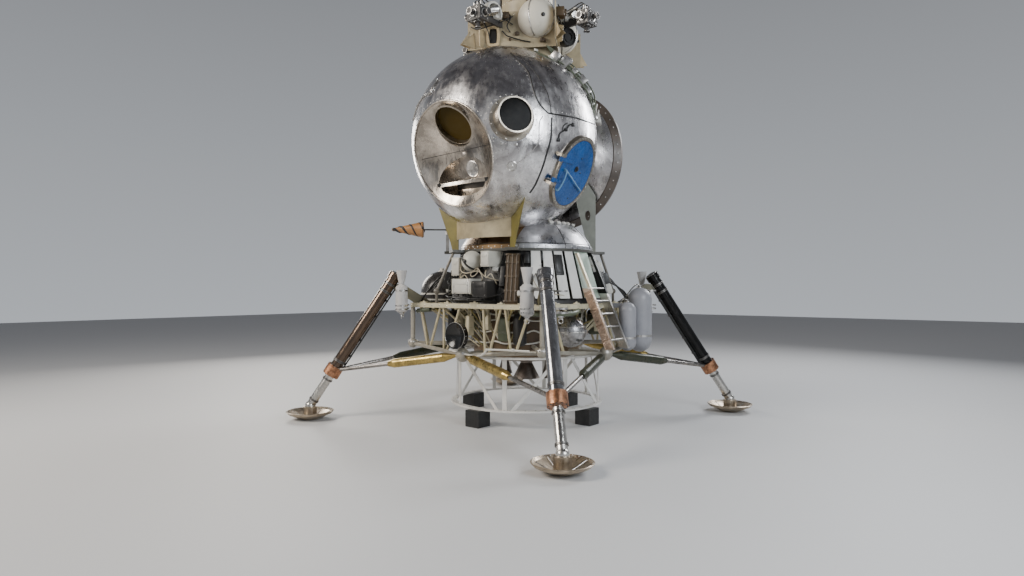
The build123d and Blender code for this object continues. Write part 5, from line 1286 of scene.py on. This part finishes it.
def box_fittings():
    """Lids, screws, plugs and straps on the equipment boxes, at the front and the rear."""
    pale_lids, dark_lids, screws = shapes(3)
    for turn in (0, 180):
        for count, (x, height, width, tall, reach) in enumerate(BOXES):
            face = facing(at(turn, reach, height) + heading(turn + 90) * x, heading(turn))
            lids = dark_lids if count == BLACK_BOX else pale_lids
            add_box(lids, face, (width * 0.9, tall * 0.86, 0.006), 0.002)
            add_box(lids, moved(face, 0, tall * 0.22, 0.005), (width * 0.55, tall * 0.22, 0.006), 0.002)
            for across in (-0.41, 0.41):
                for up in (-0.38, 0.38):
                    add_stud(screws, moved(face, across * width, up * tall, 0.005), 0.005)
            for across in (-0.25, 0.0, 0.25):
                foot = moved(face, across * width, -tall / 2, -0.03).translation
                plug = ((0.012, -0.002), (0.012, 0.018), (0.009, 0.02), (0.009, 0.03), (0, 0.032))
                add_turned(dark_lids, facing(foot, DOWN, heading(turn)), plug, 16)
        x, height, width, tall, reach = BOXES[1]
        middle = facing(at(turn, reach, height) + heading(turn + 90) * x, heading(turn))
        for across in (-0.1, 0.1):
            add_box(screws, moved(middle, across, 0), (0.012, tall + 0.004, 0.009))
    piece("box_lids", pale_lids, "lid_paint")
    piece("box_lids_dark", dark_lids, "rubber_black")
    piece("box_screws", screws)


def wall_fittings():
    """Small housings and cables on the equipment wall all the way round, and two lines at the sides."""
    dark, pale, cables, lines = shapes(4)
    for shape, rows in ((dark, WALL_HOUSINGS_DARK), (pale, WALL_HOUSINGS_PALE)):
        for azimuth, height, width, tall, depth in rows:
            where = wall_frame(azimuth, height, -0.004)
            add_box(shape, where, (width, tall, depth), 0.007)
            add_box(shape, moved(where, 0, 0, depth), (width * 0.8, tall * 0.8, 0.008))
            for up in (-0.3, 0.3):
                add_stud(shape, moved(where, width * 0.3, up * tall, depth + 0.008), 0.005)
    for turn in (0, 180, 235, 290):
        for shape, route in zip((cables, lines, lines, lines, lines), WALL_CABLES):
            spots = [wall_frame(azimuth + turn, height, lift) for azimuth, height, lift in route]
            add_pipe(shape, spots, 0.006)
    for route in FRONT_LOOPS:
        add_pipe(cables, [wall_frame(*spot) for spot in route], 0.005)
    for height, lift in WALL_RING_LINES:
        add_pipe(lines, [wall_frame(azimuth, height, lift) for azimuth in range(108, 382, 6)], 0.011, steps=2)
        for azimuth in range(112, 380, 22):
            add_box(lines, wall_frame(azimuth, height, -0.002), (0.035, 0.03, 0.038), 0.004)
    piece("wall_housings_dark", dark, "rubber_black")
    piece("wall_housings_pale", pale, "fitting_white", "equipment_paint")
    piece("wall_cables", cables, "cable_tan")
    piece("wall_lines", lines, "rubber_black")


def wall_cans():
    """Strapped round canisters on the equipment wall, each on its foot and with its outlet."""
    cans, straps, outlets = shapes(3)
    for azimuth, height, radius, length, turn in WALL_CANS:
        where = wall_frame(azimuth, height, radius + 0.012) @ Matrix.Rotation(radians(turn), 4, "Z")
        where = where @ Matrix.Rotation(radians(-90), 4, "X")
        half = length / 2
        shares = ((0, 0), (0.55, 0), (0.9, 0.25), (1, 0.6))
        end = [(radius * share, half - radius * drop) for share, drop in shares]
        add_turned(cans, where, [(reach, -rise) for reach, rise in end] + list(reversed(end)), 24)
        for rise in (-half * 0.5, half * 0.5):
            add_band(straps, moved(where, 0, 0, rise), radius, radius + 0.004, 0.009, 0.009, 24)
        add_box(straps, wall_frame(azimuth, height, -0.004), (0.05, 0.05, radius * 0.5), 0.004)
        add_plug(outlets, moved(where, 0, 0, half), 0.016, 0.014, 0.009, 0.03, 12, -0.004)
    piece("wall_cans", cans, "can_paint")
    piece("wall_can_straps", straps, "rubber_black")
    piece("wall_can_outlets", outlets)


def tank_strap():
    """The dark strap over the small white tank, with its boss."""
    shape = bmesh.new()
    ring = facing(SMALL_TANK_CENTRE, STRAP_AXIS)
    for spread in (-0.008, 0.0, 0.008):
        route = [on_ring(ring, SMALL_TANK_RADIUS + 0.001, turn, spread) for turn in turns(24, 1)]
        add_pipe(shape, route, 0.005, steps=3)
    boss = facing(SMALL_TANK_CENTRE + heading(0) * SMALL_TANK_RADIUS, heading(20, 10))
    add_turned(shape, boss, ((0.02, -0.01), (0.02, 0.014), (0.012, 0.018), (0, 0.018)), 20)
    piece("small_tank_strap", shape, "rubber_black")


def louvre_fittings():
    """Screws at the ends of the white strips and the pale panel, and clamps on the bronze column."""
    screws, clamps = shapes(2)
    for name, azimuth, width in WALL_STRIPS:
        for height in (1.405, 1.5, 1.62, 1.74, 1.885):
            for side in (-1, 1):
                turn = azimuth + side * (width / 2 - 0.8)
                stud_where_met(screws, name, at(turn, 1.3, height), -heading(turn), 0.005, 0.003)
    for height in COLUMN_CLAMPS:
        where = wall_frame(COLUMN_AZIMUTH, height, 0.088)
        add_box(clamps, where, (0.148, 0.022, 0.012))
        for across in (-0.058, 0.058):
            add_bolt(clamps, moved(where, across, 0, 0.011), 0.006)
    for across in (-0.045, 0.0, 0.045):
        add_pipe(clamps, [moved(wall_frame(COLUMN_AZIMUTH, height, 0.096), across, 0)
                          for height in (1.36, 1.5, 1.7, 1.86)], 0.008)
    piece("louvre_screws", screws)
    piece("column_clamps", clamps, "fitting_bronze", "bronze_block")


def under_deck_units():
    """Boxes and bottles that hang from the deck round the rocket unit."""
    for name, rows, look_name in (("under_boxes_green", UNDER_BOXES_GREEN, "bundle_green"),
                                  ("under_boxes_cream", UNDER_BOXES_CREAM, "fitting_cream")):
        shape = bmesh.new()
        for azimuth, reach, bottom, width, depth in rows:
            tall = (DECK_BOTTOM - bottom) * 0.72
            where = facing(at(azimuth, reach, bottom), UP, heading(azimuth))
            add_box(shape, where, (width, depth, tall), 0.008)
            add_box(shape, moved(where, 0, 0, tall * 0.35), (width + 0.008, depth + 0.008, 0.014))
            for across in (-0.3, 0.3):
                hanger = moved(where, across * width, 0, tall - 0.004)
                add_box(shape, hanger, (0.014, 0.02, DECK_BOTTOM - bottom - tall + 0.006))
        piece(name, shape, look_name)
    shape = bmesh.new()
    for azimuth, reach, bottom, radius in UNDER_BOTTLES:
        top = DECK_BOTTOM - bottom + 0.002
        add_turned(shape, facing(at(azimuth, reach, bottom), UP, heading(azimuth)), (
            (0, -radius * 0.5), (radius * 0.6, -radius * 0.38), (radius, 0), (radius, 0.05),
            (radius + 0.004, 0.052), (radius + 0.004, 0.07), (radius, 0.072), (radius, top * 0.75),
            (radius * 0.85, top * 0.84), (radius * 0.3, top * 0.88), (radius * 0.3, top), (0, top)), 28)
    piece("under_bottles", shape, "rubber_black")


def under_deck_braces():
    """Thin braces and pipes between the deck's underside and the rocket unit, on all four sides."""
    dice = Random(7)
    for name, look_name, slot, count in (("under_braces_cream", "fitting_cream", "cream_frame", 11),
                                         ("under_braces_olive", "brace_olive", "yellow_bracket", 8)):
        shape = bmesh.new()
        for turn in QUARTERS:
            for step in range(count):
                offset = -0.8 + 1.6 * (step + dice.uniform(0.1, 0.9)) / count
                if turn == 90 and -0.3 < offset < 0.3:
                    continue
                top = at(turn, dice.uniform(0.86, 0.95), DECK_BOTTOM - 0.002) + heading(turn + 90) * offset
                spread = dice.uniform(-20, 20)
                azimuth = turn + degrees(atan2(offset, 0.9)) * 0.55 + spread * 0.3
                lower = at(azimuth, ROCKET_REACH + 0.002, dice.uniform(0.82, 1.05))
                middle = (top + lower) / 2 + Vector((0, 0, dice.uniform(-0.02, 0.02)))
                add_pipe(shape, [top, middle, lower], dice.uniform(0.006, 0.011), steps=4)
                foot = facing(top - Vector((0, 0, 0.016)), UP)
                add_turned(shape, foot, ((0.02, 0), (0.02, 0.017), (0, 0.017)), 14)
        piece(name, shape, look_name, slot)
    shape = bmesh.new()
    for height, reach, lift in UNDER_RINGS:
        route = []
        for step in range(49):
            wiggle = dice.uniform(-lift, lift) if 0 < step < 48 else 0
            route.append(at(7.5 * step, reach + abs(wiggle), height + wiggle))
        add_pipe(shape, route, 0.009, steps=3)
    for azimuth in range(10, 370, 24):
        low = 0.86 + 0.12 * dice.random()
        add_pipe(shape, [at(azimuth, 0.7, 1.28), at(azimuth + 3, 0.675, 1.18), at(azimuth - 2, 0.665, 1.02),
                         at(azimuth + 2, 0.63, low)], 0.008)
    piece("under_pipes", shape, "fitting_white", "white_frame")


def stage_pipes():
    """The bent white pipe at the front, the fat ducts under the deck's edges, and lines to the legs."""
    pipe, ducts, feeds = shapes(3)
    add_pipe(pipe, FRONT_PIPE, 0.011, 12)
    for spot in FRONT_PIPE[1::2]:
        add_box(pipe, facing(spot, UP), (0.03, 0.03, 0.018), 0.004)
    for side in (1, -1):
        add_pipe(ducts, [(side * x, y, z) for x, y, z in RIGHT_DUCT], 0.027, 16)
    for azimuth in LEG_AZIMUTHS:
        for shift in (-0.035, 0.0, 0.035):
            side = heading(azimuth + 90) * shift
            rows = ((0.82, 1.66, 1), (1.0, 1.6 + shift, 1.6), (1.16, 1.46, 2.2), (1.24, 1.335, 1))
            route = [at(azimuth, reach, height) + side * share for reach, height, share in rows]
            add_pipe(feeds, route, 0.009)
    piece("front_pipe", pipe, "fitting_white", "white_frame")
    piece("edge_ducts", ducts, "bundle_green")
    piece("leg_feeds", feeds, "rubber_black")


def tank_belts():
    """Belts, valves and short pipes on the round tank, the grey capsules and the dark side tank."""
    belts, bands = shapes(2)
    centre = at(*ROUND_TANK)
    for rise, radius in ((0.0, 0.166), (0.055, 0.157)):
        add_pipe(belts, [around(centre, radius, 15 * step, rise) for step in range(25)], 0.006, steps=3)
    for turn in (20, 110, 200, 290):
        add_box(belts, facing(around(centre, 0.166, turn), heading(turn)), (0.035, 0.05, 0.014), 0.004)
    for azimuth, reach, radius, bottom, top in CAPSULES:
        where = Matrix.Translation(at(azimuth, reach, bottom + 0.05))
        add_band(belts, where, radius + 0.0005, radius + 0.004, 0.012, 0.011, 36)
        cap = at(azimuth, reach, top + radius)
        add_plug(belts, Matrix.Translation(cap - Vector((0, 0, 0.003))), 0.022, 0.012, 0.012, 0.03)
        add_pipe(belts, [cap + Vector((0, 0, 0.02)), cap + Vector((-0.04, -0.02, 0.03)),
                         cap + Vector((-0.14, -0.02, -radius * 0.5)), (0.98, cap.y - 0.02, 1.325)], 0.007)
    for height in (1.36, 1.43):
        add_band(bands, Matrix.Translation(at(*SIDE_TANK, height)), 0.2605, 0.265, 0.01, 0.009, 48)
    cap = ((0.05, 0), (0.05, 0.008), (0.03, 0.012), (0.03, 0.04), (0.02, 0.044), (0, 0.044))
    add_turned(bands, Matrix.Translation(at(*SIDE_TANK, 1.705)), cap, 28)
    piece("tank_belts", belts)
    piece("side_tank_bands", bands, "fitting_white", "white_frame")


def radar_rim():
    """A thin rim round the radar dish, with its screws."""
    shape = bmesh.new()
    rim = ((0.1403, -0.004), (0.1416, -0.003), (0.1416, 0.0005), (0.1395, 0.001), (0.1385, -0.001))
    add_turned(shape, facing(RADAR_CENTRE, heading(0)), rim, 48)
    for turn in turns(12):
        out = Vector((cos(turn), 0, sin(turn)))
        add_stud(shape, facing(Vector(RADAR_CENTRE) + out * RADAR_RADIUS + Vector((0, 0.025, 0)), out), 0.005)
    piece("radar_rim", shape)


def leg_frame(azimuth, share):
    """A frame on a leg's axis at a share of its length: z down the leg, y away from the ground."""
    top = at(azimuth, *LEG_TOP)
    foot = at(azimuth, *LEG_FOOT)
    return facing(top + (foot - top) * share, foot - top, heading(azimuth, 30))


def leg_fittings():
    """Bands, a hydraulic line with its clips, collar bolts and end caps on the four legs."""
    bands, lines = shapes(2)
    for azimuth in LEG_AZIMUTHS:
        for share in (0.075, 0.13, 0.66):
            add_turned(bands, leg_frame(azimuth, share), LEG_BAND_PROFILE, 40)
        for share in (0.8, 0.955):
            add_band(bands, leg_frame(azimuth, share), 0.0505, 0.0585, 0.012, 0.01, 36)
        cap = leg_frame(azimuth, 0) @ Matrix.Rotation(pi, 4, "X")
        add_turned(bands, cap, ((0.066, -0.001), (0.062, 0.012), (0.03, 0.02), (0, 0.021)), 36)
        for turn in turns(8):
            add_bolt(bands, on_ring(cap, 0.073, turn), 0.0045)
        for turn in turns(10):
            for half_turn in (0, pi):
                rim = leg_frame(azimuth, 0.735) @ Matrix.Rotation(half_turn, 4, "X")
                add_bolt(bands, on_ring(rim, 0.082, turn, 0.06), 0.006)
        for across, radius in ((-0.022, 0.009), (0.022, 0.006)):
            add_pipe(lines, [moved(leg_frame(azimuth, share), across, -0.08)
                             for share in (0.06, 0.12, 0.25, 0.4, 0.55, 0.66, 0.695)], radius)
        for share in (0.18, 0.3, 0.48, 0.6):
            clip = leg_frame(azimuth, share)
            where = facing(moved(clip, 0, -0.066).translation, -clip.col[1].to_3d(), clip.col[2].to_3d())
            add_box(lines, where, (0.075, 0.022, 0.026), 0.005)
    piece("leg_bands", bands, "band_metal")
    piece("leg_lines", lines, "rubber_black")


def footpad_fittings():
    """Rivets round each footpad and ribs across it."""
    shape = bmesh.new()
    for azimuth in LEG_AZIMUTHS:
        middle = at(azimuth, LEG_FOOT[0], 0)
        for step in range(24):
            stud_where_met(shape, "footpads", around(middle, 0.247, 15 * step, 0.5), DOWN, 0.006)
        for step in range(8):
            starts = [around(middle, reach, 45 * step + 22.5, 0.5) for reach in RIB_REACHES]
            route = [spot for spot in (met("footpads", start, DOWN) for start in starts) if spot is not None]
            if len(route) > 2:
                add_pipe(shape, route, 0.005)
    piece("footpad_ribs", shape, slot="pad_metal")


def motor_fittings():
    """Bands, a plug and an eye on each hold-down motor."""
    shape = bmesh.new()
    for azimuth in LEG_AZIMUTHS:
        side = heading(azimuth + 90)
        for offset in (-MOTOR_OFFSET, MOTOR_OFFSET):
            middle = at(azimuth, MOTOR_REACH, 0) + side * offset
            for height in (1.26, 1.3, 1.47):
                band = Matrix.Translation((middle.x, middle.y, height))
                add_band(shape, band, 0.0685, 0.0715, 0.009, 0.008, 32)
            spot = Vector((middle.x, middle.y, MOTOR_FOOT))
            plug = ((0.03, -0.002), (0.03, 0.014), (0.018, 0.018), (0.012, 0.03), (0, 0.03))
            add_turned(shape, facing(spot, DOWN), plug, 20)
            ring = [spot + side * 0.022 * cos(turn) + Vector((0, 0, 0.022 * sin(turn) - 0.048))
                    for turn in turns(12, 1)]
            add_pipe(shape, ring, 0.005, steps=3)
    piece("motor_bands", shape, slot="motor_grey")


def ladder_reach(height):
    """How far out the ladder's stringers are at a height."""
    share = (LADDER_TOP[1] - height) / (LADDER_TOP[1] - LADDER_FOOT[1])
    return LADDER_TOP[0] + share * (LADDER_FOOT[0] - LADDER_TOP[0])


def ladder_fittings():
    """Thin pipes beside the left stringer, with their clips, and rung ends."""
    pipes, rivets = shapes(2)
    lean = Vector((LADDER_FOOT[0] - LADDER_TOP[0], 0, LADDER_FOOT[1] - LADDER_TOP[1])).normalized()
    inward = Vector((lean.z, 0, -lean.x)).normalized()
    for count in range(6):
        route = [Vector((ladder_reach(height), -0.1685, height)) for height in (1.475, 1.3, 1.1, 0.875)]
        shift = inward * (-0.008 + 0.016 * count)
        add_pipe(pipes, [spot + shift for spot in route], 0.0055, steps=2)
    for height in (1.44, 1.28, 1.12, 0.96):
        spot = Vector((ladder_reach(height), -0.162, height)) + inward * 0.032
        add_box(pipes, facing(spot, (0, -1, 0), -lean), (0.11, 0.012, 0.014))
    for count in range(5):
        height = 0.951 + 0.136 * count
        for side in (-1, 1):
            spot = (ladder_reach(height), side * 0.162, height)
            add_stud(rivets, facing(spot, (0, side, 0)), 0.011, 0.006, 14)
    piece("ladder_pipes", pipes, "pipe_copper")
    piece("ladder_rivets", rivets)


def cone_spiral():
    """The dark stripe wound round the antenna cone."""
    low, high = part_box("antenna_cone")
    middle = Vector((0, 0, (low[2] + high[2]) / 2))
    shape = bmesh.new()
    out = heading(CONE_AZIMUTH)
    side = heading(CONE_AZIMUTH + 90)
    for start in (0, 180):
        route = []
        for step in range(61):
            share = step / 60
            reach = STRIPE_START + (STRIPE_END - STRIPE_START) * share
            skin = CONE_WIDE - (CONE_WIDE - CONE_NARROW) * (reach - CONE_START) / CONE_LENGTH
            radius = skin - 0.014 + 0.006 * share
            turn = radians(start + 360 * STRIPE_TURNS * share)
            route.append(middle + out * reach + (side * cos(turn) + Vector((0, 0, sin(turn)))) * radius)
        add_pipe(shape, route, 0.017, sides=12, steps=3)
    piece("cone_spiral", shape, "rubber_black", body="antenna")


def deck_fittings():
    """Screws round the deck's edge, clamps on it and bolts on the fittings of the lower frame."""
    screws, clamps = shapes(2)
    for turn in QUARTERS:
        along = heading(turn + 90)
        for step in range(17):
            offset = along * (-0.92 + 0.115 * step)
            stud_where_met(screws, "deck", at(turn, 1.3, 1.305) + offset, -heading(turn), 0.007)
            stud_where_met(screws, "deck", at(turn, 0.945, 1.5) + offset, DOWN, 0.007)
        for step in range(8):
            out = heading(turn + 45 * step, 20 if step % 2 else -20)
            add_bolt(screws, facing(at(turn, 1.09, 0.79) + out * 0.074, out), 0.009)
        for side in (-45, 45):
            for step in range(6):
                out = heading(turn + 60 * step, 25)
                add_bolt(screws, facing(at(turn + side, 1.33, 0.86) + out * 0.054, out), 0.008)
        for offset, width in ((-0.74, 0.1), (-0.36, 0.07), (0.05, 0.12), (0.42, 0.07), (0.7, 0.09)):
            if turn == 90 and abs(offset) < 0.3:
                continue
            where = facing(at(turn, 0.955, DECK_TOP) + along * offset, UP, heading(turn))
            add_box(clamps, where, (width, 0.04, 0.014), 0.004)
            stud = ((0.012, 0), (0.012, 0.01), (0.008, 0.012), (0, 0.012))
            add_turned(clamps, facing(moved(where, 0, 0, 0.014).translation, UP), stud, 18)
    piece("deck_screws", screws)
    piece("deck_clamps", clamps, "fitting_cream")


def stand_fittings():
    """Bolts along both rings of the display stand."""
    shape = bmesh.new()
    for step in range(48):
        for reach in STAND_BOLT_REACHES:
            for height in (0.5, 1.0):
                stud_where_met(shape, "stand_rings", at(7.5 * step, reach, height), DOWN, 0.007, 0.005)
    piece("stand_bolts", shape, slot="white_frame")


# Studio, camera and the whole


def studio():
    """Pale floor, soft area lights and a plain world that darkens upwards."""
    mesh = bpy.data.meshes.new("floor")
    corners = [(x * FLOOR_HALF, y * FLOOR_HALF, 0) for x, y in ((-1, -1), (1, -1), (1, 1), (-1, 1))]
    mesh.from_pydata(corners, [], [(0, 1, 2, 3)])
    floor = bpy.data.objects.new("floor", mesh)
    bpy.context.scene.collection.objects.link(floor)
    material, tree, shader = new_shader("floor_grey")
    connect(tree, shader, "Base Color", (FLOOR_GREY,) * 3)
    connect(tree, shader, "Roughness", 0.6)
    mesh.materials.append(material)
    world = bpy.data.worlds.new("studio")
    bpy.context.scene.world = world
    world.use_nodes = True
    tree = world.node_tree
    coordinates = node(tree, "ShaderNodeTexCoord")
    split = node(tree, "ShaderNodeSeparateXYZ", {"Vector": coordinates.outputs["Generated"]})
    rise = levels(tree, split.outputs["Z"], -0.05, 0.75)
    background = tree.nodes["Background"]
    connect(tree, background, "Color", blend_colour(tree, rise, (0.55, 0.58, 0.62), (0.1, 0.1, 0.11)))
    background.inputs["Strength"].default_value = 0.9
    for row in LAMPS:
        lamp(*row)


def lamp(name, spot, target, size, power, colour):
    """A round soft light that looks at a target."""
    light = bpy.data.lights.new(name, "AREA")
    light.shape = "DISK"
    light.size = size
    light.energy = power
    light.color = colour
    made = bpy.data.objects.new(name, light)
    made.location = spot
    made.rotation_euler = (Vector(target) - Vector(spot)).to_track_quat("-Z", "Y").to_euler()
    bpy.context.scene.collection.objects.link(made)


def camera():
    """The photograph's view: level, at 1.5 m, in front of the lander and to its right."""
    lens = bpy.data.cameras.new("camera")
    lens.lens = CAMERA_LENS
    lens.sensor_width = 36.0
    made = bpy.data.objects.new("camera", lens)
    made.location = CAMERA_PLACE
    made.rotation_euler = (radians(90), 0, radians(CAMERA_HEADING))
    bpy.context.scene.collection.objects.link(made)
    bpy.context.scene.camera = made


def dress_cad():
    """Give every CAD node its look."""
    for name, look_name in NODE_LOOKS.items():
        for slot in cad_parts[name].material_slots:
            slot.material = look(look_name)


def add_fittings():
    """Every small fitting, group by group."""
    cabin_seams()
    cabin_wires()
    dish_fittings()
    port_fittings()
    hatch_fittings()
    bay_fittings()
    skirt_fittings()
    plate_fittings()
    tank_fittings()
    pod_fittings()
    rcs_cylinders()
    collar_sheet()
    core_fittings()
    bay_rear()
    box_fittings()
    wall_fittings()
    wall_cans()
    tank_strap()
    louvre_fittings()
    under_deck_units()
    under_deck_braces()
    stage_pipes()
    tank_belts()
    radar_rim()
    leg_fittings()
    footpad_fittings()
    motor_fittings()
    ladder_fittings()
    cone_spiral()
    deck_fittings()
    stand_fittings()


camera()
studio()
dress_cad()
add_fittings()
